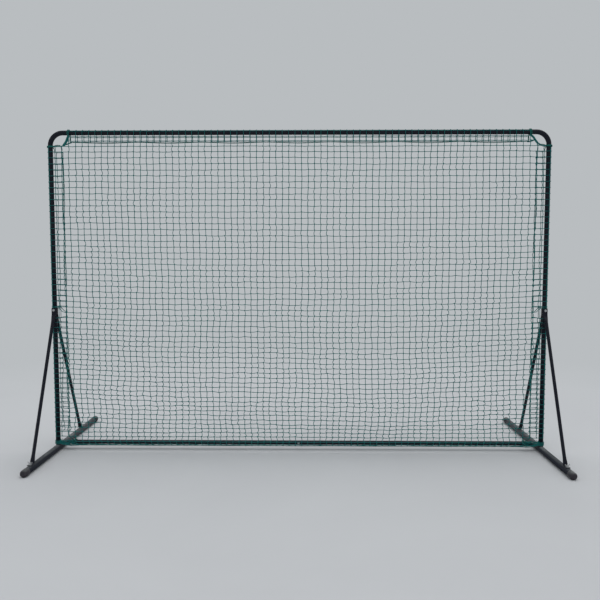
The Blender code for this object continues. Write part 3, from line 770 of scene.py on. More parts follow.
def stays():
    first = stay()
    post = Matrix.Translation((-POST_X, POST_Y, 0))
    about_post = post @ HALF_TURN @ post.inverted()
    across = Matrix.Translation((2 * POST_X, 0, 0))
    made = {("front", -1): first,
            ("rear", -1): copied(first, "rear_left_stay", about_post),
            ("front", 1): copied(first, "front_right_stay", across),
            ("rear", 1): copied(first, "rear_right_stay", across @ about_post)}
    for (facing, side), obj in made.items():
        sign = -1 if facing == "front" else 1
        x = side * POST_X
        tab_y = POST_Y + sign * (TUBE_R + GAP + FLAT_HALF)
        drilled(obj, HOLE_R, (x, tab_y, STAY_BOLT_Z), (0, DRILL_REACH, 0))
        drilled(obj, HOLE_R, (x, STUD_Y[facing], PRESSED_Z), (0, 0, DRILL_REACH))
        piece(obj, PAINT, f"{facing}_{word(side)}_stay")


def bottom_rails():
    """Both halves of the bottom rail, each from its pressed end to the joint in the middle."""
    for side in (-1, 1):
        name = f"bottom_rail_{word(side)}"
        bend_x = POST_X - BOTTOM_FLAT
        stations = press_stations(BOTTOM_R, BOTTOM_FLAT, BOTTOM_SWELL)
        if side < 0:
            seam = bend_x - JOINT_HALF - GAP
            narrow = BOTTOM_R - TUBE_WALL - SWAGE_PLAY
            stations += [(seam - SWAGE_TAPER, BOTTOM_R, BOTTOM_R), (seam, narrow, narrow),
                         (bend_x + JOINT_HALF - GAP, narrow, narrow)]
        else:
            end, rim = bend_x + JOINT_HALF, BOTTOM_R - RIM_BEVEL
            stations += [(end - RIM_BEVEL, BOTTOM_R, BOTTOM_R), (end, rim, rim)]
        pressed_bar(stations, BOTTOM_R, RAIL_SIDES)
        open_end(stations[0][0], -1)
        open_end(stations[-1][0], 1, TUBE_WALL, JOINT_BORE)
        place = Matrix.Translation((side * bend_x, BOTTOM_Y, PRESSED_Z))
        rail = put(close(name), place if side < 0 else place @ HALF_TURN)
        drilled(rail, HOLE_R, (side * POST_X, BOTTOM_Y, PRESSED_Z), (0, 0, DRILL_REACH))
        drilled(rail, JOINT_BOLT_R + GAP, (0, BOTTOM_Y, PRESSED_Z), (0, 3 * DRILL_REACH, 0))
        piece(rail, PAINT, name)


def foot_bars():
    """Round bar of each foot, open at its ends inside the caps."""
    for side in (-1, 1):
        name = f"{word(side)}_foot_bar"
        x = side * POST_X
        start_ring(FOOT_SIDES, FOOT_R, (x, -FOOT_HALF, FOOT_Z), (PI / 2, 0, 0))
        pull((0, 2 * FOOT_HALF, 0))
        bar = close(name)
        walled(bar, FOOT_WALL)
        piece(bar, FOOT_PAINT, name)
        post_stub(side)
        weld_bead(side)
        for where, y in STUD_Y.items():
            seat = RAIL_SEAT_Z if where == "rail" else STAY_SEAT_Z
            top = seat + NUT_HEIGHT + STUD_SPARE
            stud((x, y, FOOT_TOP - FOOT_WALL / 2), top - FOOT_TOP + FOOT_WALL / 2)
            piece(close(f"{word(side)}_{where}_stud"), ZINC)


def post_stub(side):
    """Short tube, welded on the foot bar, that the post slips over."""
    start_ring(STUB_SIDES, STUB_R, (side * POST_X, POST_Y, FOOT_TOP - STUB_SUNK))
    fill()
    pull((0, 0, STUB_TOP - FOOT_TOP + STUB_SUNK - STUB_CHAMFER))
    pull((0, 0, STUB_CHAMFER))
    widen((STUB_POINT, STUB_POINT, 1), (side * POST_X, POST_Y, STUB_TOP))
    fill()
    pull_inside(lambda centre, normal: abs(centre.z - STUB_TOP) < TINY and normal.z > FACING, STUB_WALL,
                (0, 0, -STUB_BORE))
    piece(close(f"{word(side)}_post_stub"), PAINT)


def weld_bead(side):
    """Rippled bead of weld where the stub meets the round top of the foot bar."""
    radius = STUB_R + WELD_OFF
    points = []
    for step in range(WELD_STEPS):
        around = 2 * PI * step / WELD_STEPS
        across = radius * math.cos(around)
        z = FOOT_Z + math.sqrt(FOOT_R ** 2 - across ** 2)
        place = (side * POST_X + across, POST_Y + radius * math.sin(around), z)
        points.append((place, 1 + WELD_RIPPLE * math.sin(WELD_RIPPLES * around)))
    piece(strands(f"{word(side)}_post_weld", [points], WELD_R, 2, cyclic=True), PAINT)


def stud(place, length):
    """Smooth root and rolled thread of a stud that points up. Left open in edit mode, for its name."""
    start_ring(STUD_SIDES, BOLT_R, place)
    fill()
    pull((0, 0, STUD_ROOT))
    thread(1, place, length - STUD_ROOT - THREAD_POINT, BOLT_R)
    pull((0, 0, THREAD_POINT))
    widen((STUD_POINT, STUD_POINT, 1), place)
    fill()


def thread(up, centre, length, radius):
    """Roots and crests of a thread along Z, one ring each, on from the ring that is selected."""
    root = 1 - THREAD_DEPTH / radius
    turns = int(length / THREAD_PITCH)
    for _ in range(turns):
        for share in (root, 1 / root):
            pull((0, 0, up * length / turns / 2))
            widen((share, share, 1), centre)


def foot_caps():
    """Rubber cap, modelled once along +Y and copied to the four ends, each with its sole cut flat."""
    start(bpy.ops.mesh.primitive_cylinder_add, vertices=FOOT_SIDES, radius=CAP_R, depth=CAP_LENGTH,
          location=(0, -CAP_LENGTH / 2, 0), rotation=(PI / 2, 0, 0))
    pull_inside(lambda centre, normal: normal.y < -FACING, CAP_R - FOOT_R - GAP, (0, CAP_LENGTH - CAP_END, 0))
    for end, offset, segments in ((0, CAP_ROUND, 9), (-CAP_LENGTH, CAP_LIP, 2)):
        rounded(lambda co: abs(co.y - end) < TINY and co.xz.length > CAP_R - TINY, offset, segments)
    first = close("foot_cap")
    for facing, sign in (("rear", 1), ("front", -1)):
        for side in (-1, 1):
            name = f"{facing}_{word(side)}_foot_cap"
            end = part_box(name)
            place = Matrix.Translation((side * POST_X, end[1].y if sign > 0 else end[0].y, FOOT_Z))
            only(copied(first, "cap", place if sign > 0 else place @ HALF_TURN))
            bpy.ops.object.mode_set(mode="EDIT")
            bpy.ops.mesh.select_all(action="SELECT")
            bpy.ops.mesh.bisect(plane_co=(0, 0, TINY), plane_no=(0, 0, -1), use_fill=True, clear_outer=True,
                                threshold=TINY / 10)
            piece(close("cap"), RUBBER, name)
    bpy.data.objects.remove(first)


# Hardware

def domed_bolt(radius, head_r, head_height, shank, threaded):
    """A bolt that points down, with its seat at z = 0: domed head, smooth shank and thread."""
    start_disc(HEAD_SIDES, head_r, head_height)
    rounded(lambda co: abs(co.z - head_height) < TINY, head_height * DOME_SHARE, 6, profile=DOME_PROFILE)
    pull_inside(lambda centre, normal: normal.z < -FACING, head_r - radius, (0, 0, threaded - shank))
    thread(-1, (0, 0, 0), threaded - THREAD_POINT, radius)
    pull((0, 0, -THREAD_POINT))
    widen((BOLT_POINT, BOLT_POINT, 1), (0, 0, 0))


def bored(radius, outer):
    """Insets both ends of a solid disc of this outer radius and joins them through, as its hole."""
    pick(lambda centre, normal: abs(normal.z) > FACING and centre.xy.length < TINY)
    inset(outer - radius)
    bpy.ops.mesh.bridge_edge_loops()


def washer():
    start_disc(WASHER_SIDES, WASHER_R, WASHER_THICKNESS)
    bored(HOLE_R, WASHER_R)
    rounded(lambda co: co.xy.length > WASHER_R - TINY and co.z > WASHER_THICKNESS - TINY, WASHER_BEVEL, 2)
    return close("washer")


def hex_nut():
    """A small hexagon nut with chamfered corners, seat at z = 0."""
    start_disc(6, JOINT_NUT_R, JOINT_NUT_HEIGHT)
    bored(JOINT_BOLT_R, JOINT_NUT_R)
    rounded(lambda co: co.xy.length > JOINT_NUT_R - TINY, JOINT_NUT_BEVEL, 2)
    return close("hex_nut", math.radians(25))


# A wing's middle line, as (out, up, lean), and its half height and half thickness there
WING = ((0.0052, 0.0045, 0, 0.0034, 0.0014), (0.0085, 0.0058, 12, 0.0036, 0.0013),
        (0.0112, 0.0082, 32, 0.0033, 0.0012), (0.0136, 0.0112, 44, 0.0030, 0.0012),
        (0.0150, 0.0140, 50, 0.0027, 0.0012), (0.0158, 0.0158, 55, 0.0012, 0.0009))
WING_ROOT = 0.0022


def wing():
    """One wing, drawn out of a block through its stations along +X."""
    first = WING[0]
    start(bpy.ops.mesh.primitive_cube_add, size=1, location=(first[0] - WING_ROOT / 2, 0, first[1]),
          scale=(WING_ROOT, 2 * first[4], 2 * first[3]))
    pick(lambda centre, normal: normal.x > FACING)
    for before, (out, up, lean, tall, thick) in zip(WING, WING[1:]):
        pull((out - before[0], 0, up - before[1]))
        middle = (out, 0, up)
        turn(-math.radians(lean - before[2]), "Y", middle)
        tilt = Matrix.Rotation(-math.radians(lean), 3, "Y")
        bpy.ops.transform.resize(value=(1, thick / before[4], tall / before[3]), orient_type="GLOBAL",
                                 orient_matrix=tilt, orient_matrix_type="GLOBAL", center_override=middle)
    made = close("wing")
    apply_modifier(made, "SUBSURF", levels=2, render_levels=2)
    return made


def wing_nut():
    """A wing nut, seat at z = 0: tapered hub with its bore, and two wings."""
    start(bpy.ops.mesh.primitive_cone_add, vertices=NUT_SIDES, radius1=NUT_R, radius2=NUT_R - NUT_TAPER,
          depth=NUT_HEIGHT, location=(0, 0, NUT_HEIGHT / 2))
    rounded(lambda co: co.z > NUT_HEIGHT - TINY, NUT_BEVEL, 3)
    hub = close("wing_nut")
    for angle in (0, PI):
        blade = put(wing(), Matrix.Rotation(angle, 4, "Z"))
        apply_modifier(hub, "BOOLEAN", object=blade, operation="UNION")
        bpy.data.objects.remove(blade)
    drilled(hub, HOLE_R, (0, 0, NUT_HEIGHT / 2), (0, 0, NUT_HEIGHT / 2 + DRILL_REACH))
    only(hub)
    bpy.ops.object.shade_smooth_by_angle(angle=SMOOTH)
    return hub


def along_y(x, y, z, forwards=True, roll=0.0):
    """Stands a shape that points up at a place, with its top to the front or to the back."""
    lay = Matrix.Rotation(PI / 2 if forwards else -PI / 2, 4, "X")
    return Matrix.Translation((x, y, z)) @ lay @ Matrix.Rotation(roll, 4, "Z")


def fitted(shape, name, place, surface=ZINC, body="frame"):
    piece(copied(shape, name, place), surface, name, body)


def hardware():
    nut, ring, hexagon = wing_nut(), washer(), hex_nut()
    tab_front = POST_Y - TUBE_R - 2 * FLAT_HALF - 2 * GAP
    tab_back = 2 * POST_Y - tab_front
    domed_bolt(BOLT_R, HEAD_R, HEAD_HEIGHT, tab_back + NUT_HEIGHT + STUD_SPARE - tab_front, STAY_THREAD)
    stay_bolt = close("stay_bolt")
    for side in (-1, 1):
        x = side * POST_X
        fitted(stay_bolt, f"{word(side)}_stay_bolt", along_y(x, tab_front, STAY_BOLT_Z))
        name = f"{word(side)}_stay_bolt_wing_nut"
        fitted(nut, name, along_y(x, tab_back, STAY_BOLT_Z, False, side * STAY_NUT_TURN), body=name)
        for where, y in STUD_Y.items():
            angle = side * FOOT_NUT_TURN
            if where == "rail":
                name, seat, angle = f"{word(side)}_bottom_rail_wing_nut", RAIL_SEAT_Z, angle + PI / 2
            else:
                name, seat = f"{where}_{word(side)}_stay_wing_nut", STAY_SEAT_Z
                under = f"{where}_{word(side)}_stay_washer"
                fitted(ring, under, Matrix.Translation((x, y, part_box(under)[0].z)))
            fitted(nut, name, Matrix.Translation((x, y, seat)) @ Matrix.Rotation(angle, 4, "Z"), body=name)
    for level, y, z, radius, surface in (("top", POST_Y, RAIL_Z, TUBE_R, PAINT),
                                         ("bottom", BOTTOM_Y, PRESSED_Z, BOTTOM_R, ZINC)):
        front, back = y - radius - GAP, y + radius + GAP
        shank = back + JOINT_NUT_HEIGHT + STUD_SPARE / 2 - front
        domed_bolt(JOINT_BOLT_R, JOINT_HEAD_R, JOINT_HEAD_HEIGHT, shank, JOINT_THREAD)
        piece(put(close("joint_bolt"), along_y(0, front, z)), surface, f"{level}_joint_bolt")
        fitted(hexagon, f"{level}_joint_nut", along_y(0, back, z, False, PI / 6), surface)
    for used in (nut, ring, hexagon, stay_bolt):
        bpy.data.objects.remove(used)


# Twine and rope

def strands(name, runs, radius, resolution, cyclic=False):
    """Round strands as one mesh. A run is a list of (place, share of the radius). U is in metres along it."""
    curve = bpy.data.curves.new(name, "CURVE")
    curve.dimensions = "3D"
    curve.bevel_depth = radius
    curve.bevel_resolution = resolution
    curve.use_fill_caps = not cyclic
    length = 0.0
    for run in runs:
        spline = curve.splines.new("POLY")
        spline.points.add(len(run) - 1)
        spline.points.foreach_set("co", [value for place, _ in run for value in (*place, 1.0)])
        spline.points.foreach_set("radius", [share for _, share in run])
        spline.use_cyclic_u = cyclic
        length += sum(math.dist(a[0], b[0]) for a, b in zip(run, run[1:]))
    only(linked(name, curve))
    bpy.ops.object.convert(target="MESH")
    for corner in bpy.context.object.data.uv_layers["UVMap"].data:
        corner.uv.x *= length / len(runs)
    bpy.ops.object.mode_set(mode="EDIT")
    return close(name, PI)


def smooth_route(points, step):
    """Places about a step apart on a smooth curve through the points."""
    points = [Vector(point) for point in points]
    padded = [2 * points[0] - points[1], *points, 2 * points[-1] - points[-2]]
    route = []
    for a, b, c, d in zip(padded, padded[1:], padded[2:], padded[3:]):
        count = max(1, round((c - b).length / step))
        for index in range(count):
            t = index / count
            route.append(0.5 * (2 * b + (c - a) * t + (2 * a - 5 * b + 4 * c - d) * t * t
                                + (3 * b - a - 3 * c + d) * t * t * t))
    route.append(points[-1])
    return route


def twisted(route, count, off, pitch):
    """Runs of strands that turn round a route, this far off it."""
    side = None
    runs = [[] for _ in range(count)]
    travelled = 0.0
    for index, place in enumerate(route):
        ahead = route[min(index + 1, len(route) - 1)] - route[max(index - 1, 0)]
        along = ahead.normalized()
        if side is None:
            side = along.orthogonal().normalized()
        side = (side - along * side.dot(along)).normalized()
        other = along.cross(side)
        if index:
            travelled += (place - route[index - 1]).length
        for number, run in enumerate(runs):
            angle = 2 * PI * (travelled / pitch + number / count)
            run.append((place + off * (math.cos(angle) * side + math.sin(angle) * other), 1.0))
    return runs


# Border ropes and ties

ROPE_R = 0.0025
ROPE_LAY = 0.017
ROPE_STEPS = 7
TIE_LAY = 0.015
WRAP_R = 0.0166
SIDE_FLAP = 0.057
ROPE_OFF_NET = 0.0047
WAVE_DEPTH = 0.006
SIDE_WAVES = 5
TOP_WAVES = 7
BOTTOM_WAVES = 6
POINTS_A_WAVE = 4
TOP_FLAP_Z = 1.8850
TOP_FLAP_X = 1.3600
SIDE_ROPE_TOP = 1.8250
SIDE_ROPE_FOOT = 0.0900
SIDE_ROPE_START = ((0.006, 0.0062, 0.0020), (0.022, 0.002, 0.0105), (0.040, 0.002, 0.0120),
                   (0.056, 0.001, 0.0060))
SIDE_ROPE_END = ((0.016, 0.004, 0.072), (0.009, 0.009, 0.0615), (0.0035, 0.0150, 0.0550))
TOP_ROPE_END = ((0.0070, 0, -0.003), (0.0090, 0.001, 0.010), (0.0085, 0.001, 0.026))
TOP_ROPE_SHORT = 0.006
UNDER_EDGE = (-0.068, 0.0255)
BOTTOM_ROPE_OFF = (0.0032, -0.0034)
BOTTOM_ROPE_DIP = 0.0015
POST_TIE_Z = 1.8520
RAIL_TIE_X = 1.3740
FOOT_TIE_X = 1.3950
TIE_TURNS = 2
TIE_STEPS = 14
TIE_PITCH = 0.0062
TIE_SLACK = 0.0009
TIE_TAIL = 0.012
TIE_LIFT = 0.0035
TIE_DROOP = 0.016


def laid_rope(name, points, pitch=ROPE_LAY):
    """Three strands twisted round a smooth route, for the node of that name."""
    strand_r = ROPE_R / (1 + 2 / math.sqrt(3))
    runs = twisted(smooth_route(points, pitch / ROPE_STEPS), 3, ROPE_R - strand_r, pitch)
    piece(strands(name, runs, strand_r, 1), ROPE, name)


def waves(count):
    total = count * POINTS_A_WAVE
    return [(step / total, (1 - math.cos(2 * PI * step / POINTS_A_WAVE)) / 2) for step in range(total + 1)]


def border_ropes():
    back = POST_Y + WRAP_R
    inner = POST_X - SIDE_FLAP - ROPE_OFF_NET
    fall = SIDE_ROPE_FOOT - SIDE_ROPE_TOP
    for sign in (-1, 1):
        first = [(sign * (POST_X - inwards), back + behind, POST_TIE_Z + up)
                 for inwards, behind, up in SIDE_ROPE_START]
        run = [(sign * (inner - WAVE_DEPTH * depth), back, SIDE_ROPE_TOP + fall * share)
               for share, depth in waves(SIDE_WAVES)]
        last = [(sign * (FOOT_TIE_X + out), back + behind, z) for out, behind, z in SIDE_ROPE_END]
        laid_rope(f"{word(sign)}_border_rope", [*first, *run, *last])
    low = TOP_FLAP_Z - ROPE_OFF_NET
    reach = TOP_FLAP_X - TOP_ROPE_SHORT
    run = [(reach * (2 * share - 1), back, low - WAVE_DEPTH * depth) for share, depth in waves(TOP_WAVES)]
    ends = [(TOP_FLAP_X + out, back + behind, TOP_FLAP_Z + up) for out, behind, up in TOP_ROPE_END]
    laid_rope("top_border_rope", [*((-x, y, z) for x, y, z in reversed(ends)), *run, *ends])
    y, z = UNDER_EDGE[0] + BOTTOM_ROPE_OFF[0], UNDER_EDGE[1] + BOTTOM_ROPE_OFF[1]
    run = [(TOP_FLAP_X * (2 * share - 1), y + WAVE_DEPTH * depth / 2, z)
           for share, depth in waves(BOTTOM_WAVES)]
    dipped = z - BOTTOM_ROPE_DIP
    laid_rope("bottom_border_rope", [(-FOOT_TIE_X, y, dipped), *run, (FOOT_TIE_X, y, dipped)])


def tie(name, centre, axis, facing, tangent, core, droop):
    """Rope wound on a tube, with a short tail at each end of its turns on the side that it faces."""
    centre, axis, facing, tangent = Vector(centre), Vector(axis), Vector(facing), Vector(tangent)
    radius = core + ROPE_R + TIE_SLACK
    reach = TIE_TURNS * TIE_PITCH / 2
    wound = []
    for step in range(TIE_TURNS * TIE_STEPS + 1):
        angle = 2 * PI * step / TIE_STEPS
        ring = facing * math.cos(angle) + tangent * math.sin(angle)
        wound.append(centre + radius * ring + axis * (step / TIE_STEPS * TIE_PITCH - reach))
    tails = []
    for sign, last in ((-1, wound[0]), (1, wound[-1])):
        away = last + sign * tangent * TIE_TAIL + facing * TIE_LIFT
        tails.append([away, away + sign * tangent * TIE_TAIL / 2 + Vector((0, 0, -droop))])
    laid_rope(name, [*reversed(tails[0]), *wound, *tails[1]], TIE_LAY)


def corner_ties():
    slant = math.sqrt(0.5)
    for sign in (-1, 1):
        out = (sign, 0, 0)
        tie(f"{word(sign)}_post_tie", (sign * POST_X, POST_Y, POST_TIE_Z), (0, 0, 1), (0, 1, 0), out, TUBE_R,
            TIE_DROOP)
        tie(f"{word(sign)}_rail_tie", (sign * RAIL_TIE_X, POST_Y, RAIL_Z), out, (0, slant, -slant),
            (0, slant, slant), TUBE_R, TIE_DROOP)
        tie(f"{word(sign)}_foot_tie", (sign * FOOT_TIE_X, BOTTOM_Y, PRESSED_Z), out, (0, 1, 0), (0, 0, 1),
            BOTTOM_R, 0)


# The net. Columns are counted out from the middle, and rows down from the one at the post ties.

TWINE_R = 0.0019
COLUMN_GAP = 0.03843
COLUMNS_A_SIDE = 42
# Gaps between the rows in front: at the top, their mean, and at the foot in the middle and at the sides
MESH = 0.036
MEAN_GAP = 0.03256
MIDDLE_GAP = 0.0255
SIDE_GAP = 0.0290
# Twine between two knots
STRAND = 0.0374
# The row at the post ties, the gaps from it up and over the top rail, and the slack below it
TOP_ROW_Z = 1.8516
TOP_GAPS = (0.0315, 0.0262, 0.0337, 0.0337, 0.0337, 0.0262)
TOP_ROWS = len(TOP_GAPS)
TOP_SLACK = 0.006
TOP_SLACK_RATE = 1.2
# Gaps in front, and rows under the bottom rail
FRONT_GAPS = 54
UNDER_ROWS = 3
LAST_ROW = FRONT_GAPS + UNDER_ROWS
NET_Y = POST_Y - WRAP_R
ARC = PI * WRAP_R
UNDER_RAIL = ((NET_Y, 0.0934), (NET_Y, 0.054), (-0.090, 0.034), UNDER_EDGE)
UNDER_GAP = 0.0320
# Last columns of the open field, and before the flap that goes round a post
FIELD_EDGE = 36
CORNER_EDGE = 39
# Knots at the posts keep clear of the stays' tabs, between these heights
TAB_ZONE = (0.824, 0.8885)
TAB_REACH = 1.4605
TAB_EASE = 0.035
POST_PULL = 0.012
POST_PULL_FROM = (1.30, 1.44)
# Distances in from a post and rows from a tie over which the net comes free, and over which its twines bow
FREE_ACROSS = (0.02, 0.16)
FREE_ROWS = (-1.5, 3.0)
BOW_ACROSS = (0.0, 0.09)
BOW_ROWS = (-2.5, 0.5)
FLAP_BOW = 0.85
TIGHT_BOW = 0.12
BOW_POWER = 1.35
# How far the sheet bags, drifts, sways and waves, and how far each knot and twine slips by itself
BAG = 0.012
BAG_WAVES = (0.9, 0.035)
BAG_START = Vector((3.1, 0, 0))
BAG_FINER = 2.7
DRIFT = 0.007
SWAY = 0.011
ROW_WAVE = 0.003
SLIP = 0.0016
LOW_SLIP = 0.0020
HELD_SLIP = 0.25
LOW_FROM = 5
STRAND_SLIP = 0.0008
LEAN_SLIP = 0.25
DEPTH_SLIP = 0.12
SAG = 0.0011
SAG_SLIP = 0.0009
MOST_SIDEWAYS = 0.72
# Twine over a tube, twine at a knot, and where the points of a run lie between two knots
DRAWN_THIN = 0.72
KNOT_SWELL = 1.75
FALL_SHARES = (0.11, 0.36, 0.64, 0.89)
ACROSS_SHARES = (0.10, 0.5, 0.90)
WRAP_SHARES = (0.12, 0.32, 0.5, 0.68, 0.88)
KNOT_LOOP_R = 0.0028
KNOT_LOOP_TWINE = 0.0015
KNOT_LOOP_POINTS = 7
KNOT_TILT = (0.5, 1.1)
KNOT_ROLL = 0.5
SEED = 7
# Waves of each unevenness: shares of the way across and down, and its layer of the noise
DRIFT_WAVES = (1.3, 0.06, 5.0)
DRIFT_GAIN = 1.4
ROW_WAVES = (1.1, 0.5, 9.0)
ROW_RIPPLES = (5, 1, 2)
SWAY_WAVES = (0.9, 0.045, 14.0)
LEAN_WAVES = (2.2, 0.16, 21.0)
LEAN_GAIN = 2.4
DEPTH_WAVES = (1.6, 0.12, 33.0)
# Last rows of the upper and the middle pieces
UPPER_END = 18
MIDDLE_END = 38


def column_place(number):
    """Distance of a column from the middle, across the flat sheet. Columns are -42 to -1 and 1 to 42."""
    return math.copysign(abs(number) - 0.5, number) * COLUMN_GAP


def on_outline(outline, distance):
    """Point at a distance along straight runs."""
    for first, second in zip(outline, outline[1:]):
        run = math.dist(first, second)
        if distance <= run:
            break
        distance -= run
    share = min(distance / run, 1.0)
    return tuple(a + (b - a) * share for a, b in zip(first, second))


def folded_over(distance):
    """Place across a tube of an edge that goes over it: (past the tube's middle, back from the front)."""
    if distance < 0:
        return distance, 0.0
    if distance < ARC:
        angle = distance / WRAP_R
        return WRAP_R * math.sin(angle), WRAP_R * (1 - math.cos(angle))
    return ARC - distance, 2 * WRAP_R


def run_up(rows):
    """Length of net from the row at the post ties to a place this many rows above it."""
    whole = min(int(rows), TOP_ROWS - 1)
    return sum(TOP_GAPS[:whole]) + (rows - whole) * TOP_GAPS[whole]


def spot(across, row):
    """Place in space of a point of the flat sheet, before it slackens. row counts down from the post ties."""
    pulled = abs(across) + POST_PULL * eased(abs(across), *POST_PULL_FROM)
    out, behind = folded_over(pulled - POST_X)
    x = POST_X + out
    if row < 0:
        up, over = folded_over(TOP_ROW_Z + run_up(-row) - RAIL_Z)
        y, z = NET_Y + over, RAIL_Z + up
    elif row <= FRONT_GAPS:
        crowded = MIDDLE_GAP + (SIDE_GAP - MIDDLE_GAP) * min(1.0, x / TAB_REACH) ** 2
        bent = (MESH - crowded) / (MESH - MEAN_GAP)
        share = row / FRONT_GAPS
        slack = TOP_SLACK * (1 - math.exp(-TOP_SLACK_RATE * row)) * (1 - share)
        y, z = NET_Y, TOP_ROW_Z - FRONT_GAPS * (MESH * share - (MESH - MEAN_GAP) * share ** bent) + slack
    else:
        y, z = on_outline(UNDER_RAIL, (row - FRONT_GAPS) * UNDER_GAP)
    low, high = TAB_ZONE
    if low < z < high:
        clear = low if z < (low + high) / 2 else high
        z += (clear - z) * eased(x, TAB_REACH - TAB_EASE, TAB_REACH)
    return Vector((math.copysign(x, across), y + behind, z))


def freedom(across, row):
    """How far the net may hang away from its place: none at a tube, all in the open field."""
    inside = eased(POST_X - abs(across), *FREE_ACROSS)
    return inside * eased(row, *FREE_ROWS) * eased(FRONT_GAPS - row, *FREE_ROWS)


def uneven(across, row, along, down, layer):
    """Smooth noise over the sheet, in a layer of its own: shares of the way across it and down it."""
    return noise.noise(Vector((across * along, row * down, layer)))


class Net:
    """Knots of the net where they have settled, and the twine between them."""

    def __init__(self):
        self.random = random.Random(SEED)
        self.shift = {}
        self.numbers = [number for number in range(-COLUMNS_A_SIDE, COLUMNS_A_SIDE + 1) if number]
        for number in self.numbers:
            for row in range(-TOP_ROWS, LAST_ROW + 1):
                self.shift[number, row] = self.settle(column_place(number), row)

    def settle(self, across, row):
        """How far a knot has moved: slow bagging and drifting of the sheet, and its own small slip."""
        free = freedom(across, row)
        low = eased(row, LOW_FROM, FRONT_GAPS)
        place = Vector((across * BAG_WAVES[0], row * BAG_WAVES[1], 0))
        bag = noise.noise(place + BAG_START) + 0.5 * noise.noise(place * BAG_FINER)
        drift = uneven(across, row, *DRIFT_WAVES) * DRIFT_GAIN
        wave = uneven(across, row, *ROW_WAVES) + 0.5 * uneven(across, row, *ROW_RIPPLES)
        sway = uneven(across, row, *SWAY_WAVES)
        slip = SLIP + LOW_SLIP * low
        near = HELD_SLIP + (1 - HELD_SLIP) * free
        return Vector((DRIFT * drift * free + self.random.uniform(-slip, slip) * near,
                       BAG * bag * free + self.random.uniform(-slip, slip) * free,
                       (SWAY * sway + ROW_WAVE * wave) * free + self.random.uniform(-slip, slip) * near))

    def knot(self, number, row):
        return spot(column_place(number), row) + self.shift[number, row]

    def between(self, first, second, share):
        """A place on the sheet between two neighbouring knots, each as (column, row)."""
        across = column_place(first[0]) * (1 - share) + column_place(second[0]) * share
        row = first[1] * (1 - share) + second[1] * share
        return spot(across, row) + self.shift[first].lerp(self.shift[second], share)

    def fall(self, number, row):
        """Sideways and depth bow of the twine below a knot, from its spare length."""
        span = (self.knot(number, row) - self.knot(number, row + 1)).length
        spare = max(0.0, span * (STRAND + self.random.uniform(-STRAND_SLIP, STRAND_SLIP) - span))
        across = column_place(number)
        flap = abs(number) > CORNER_EDGE + 1
        free = max(eased(POST_X - abs(across), *BOW_ACROSS), FLAP_BOW * flap)
        free *= eased(row, *BOW_ROWS) * (1 - eased(row, FRONT_GAPS, FRONT_GAPS + 1.0))
        reach = 2 / PI * math.sqrt(spare) * (TIGHT_BOW + (1 - TIGHT_BOW) * free)
        lean = uneven(across, row, *LEAN_WAVES) * LEAN_GAIN + self.random.uniform(-LEAN_SLIP, LEAN_SLIP)
        sideways = max(-MOST_SIDEWAYS, min(MOST_SIDEWAYS, -lean if flap else lean))
        forward = uneven(across, row, *DEPTH_WAVES) + self.random.uniform(-DEPTH_SLIP, DEPTH_SLIP)
        depth = math.copysign(math.sqrt(1 - sideways * sideways), forward)
        return Vector((reach * sideways, reach * depth, 0))

    def column(self, number, first, last):
        """Twine of one column, between two rows."""
        run = [(self.knot(number, first), KNOT_SWELL)]
        for row in range(first, last):
            bow = self.fall(number, row)
            for share in FALL_SHARES:
                bowed = bow * math.sin(PI * share ** BOW_POWER)
                run.append((self.between((number, row), (number, row + 1), share) + bowed, 1.0))
            run.append((self.knot(number, row + 1), KNOT_SWELL))
        return drawn(run, lambda place: not PRESSED_Z + BOTTOM_R < place.z < RAIL_Z - TUBE_R)

    def row(self, row, first, last):
        """Twine of one row, between two columns."""
        numbers = [number for number in self.numbers if first <= number <= last]
        run = [(self.knot(numbers[0], row), KNOT_SWELL)]
        for number, after in zip(numbers, numbers[1:]):
            sag = self.random.uniform(-SAG_SLIP, SAG_SLIP) - SAG
            wrapped = abs(column_place(number)) > POST_X - COLUMN_GAP
            for share in (WRAP_SHARES if wrapped else ACROSS_SHARES):
                place = self.between((number, row), (after, row), share)
                place.z += 0 if wrapped else sag * 4 * share * (1 - share)
                run.append((place, 1.0))
            run.append((self.knot(after, row), KNOT_SWELL))
        return drawn(run, lambda place: abs(place.x) > POST_X - TUBE_R)


def drawn(run, over_tube):
    """A run of twine, thinner where it is drawn tight over a tube."""
    return [(place, thick * (DRAWN_THIN if over_tube(place) else 1.0)) for place, thick in run]


def column_rows(number):
    """First and last row of a column: it ends in the corner's gathered edge, or at the flap's top."""
    count = abs(number)
    if count <= FIELD_EDGE:
        return -TOP_ROWS, LAST_ROW
    if count <= CORNER_EDGE:
        return 0, FRONT_GAPS
    return 1, FRONT_GAPS - 1


def row_columns(row):
    """Furthest column that a row reaches on each side."""
    if row < 0 or row > FRONT_GAPS:
        return FIELD_EDGE
    return CORNER_EDGE if row in (0, FRONT_GAPS) else COLUMNS_A_SIDE


def knot_loops(net, first, last):
    """The loop of twine round each knot, as a small tilted ring."""
    angles = [2 * PI * step / KNOT_LOOP_POINTS for step in range(KNOT_LOOP_POINTS)]
    ring = [KNOT_LOOP_R * Vector((math.cos(angle), math.sin(angle), 0)) for angle in angles]
    loops = []
    for row in range(first, last + 1):
        reach = row_columns(row)
        for number in net.numbers:
            top, bottom = column_rows(number)
            if abs(number) > reach or not top <= row <= bottom:
                continue
            centre = net.knot(number, row)
            tilt = net.random.uniform(*KNOT_TILT) * (1 if (number + row) % 2 else -1)
            roll = net.random.uniform(-KNOT_ROLL, KNOT_ROLL)
            turned = Matrix.Rotation(tilt, 3, "Y") @ Matrix.Rotation(roll, 3, "X")
            loops.append([(centre + turned @ point, 1.0) for point in ring])
    return loops


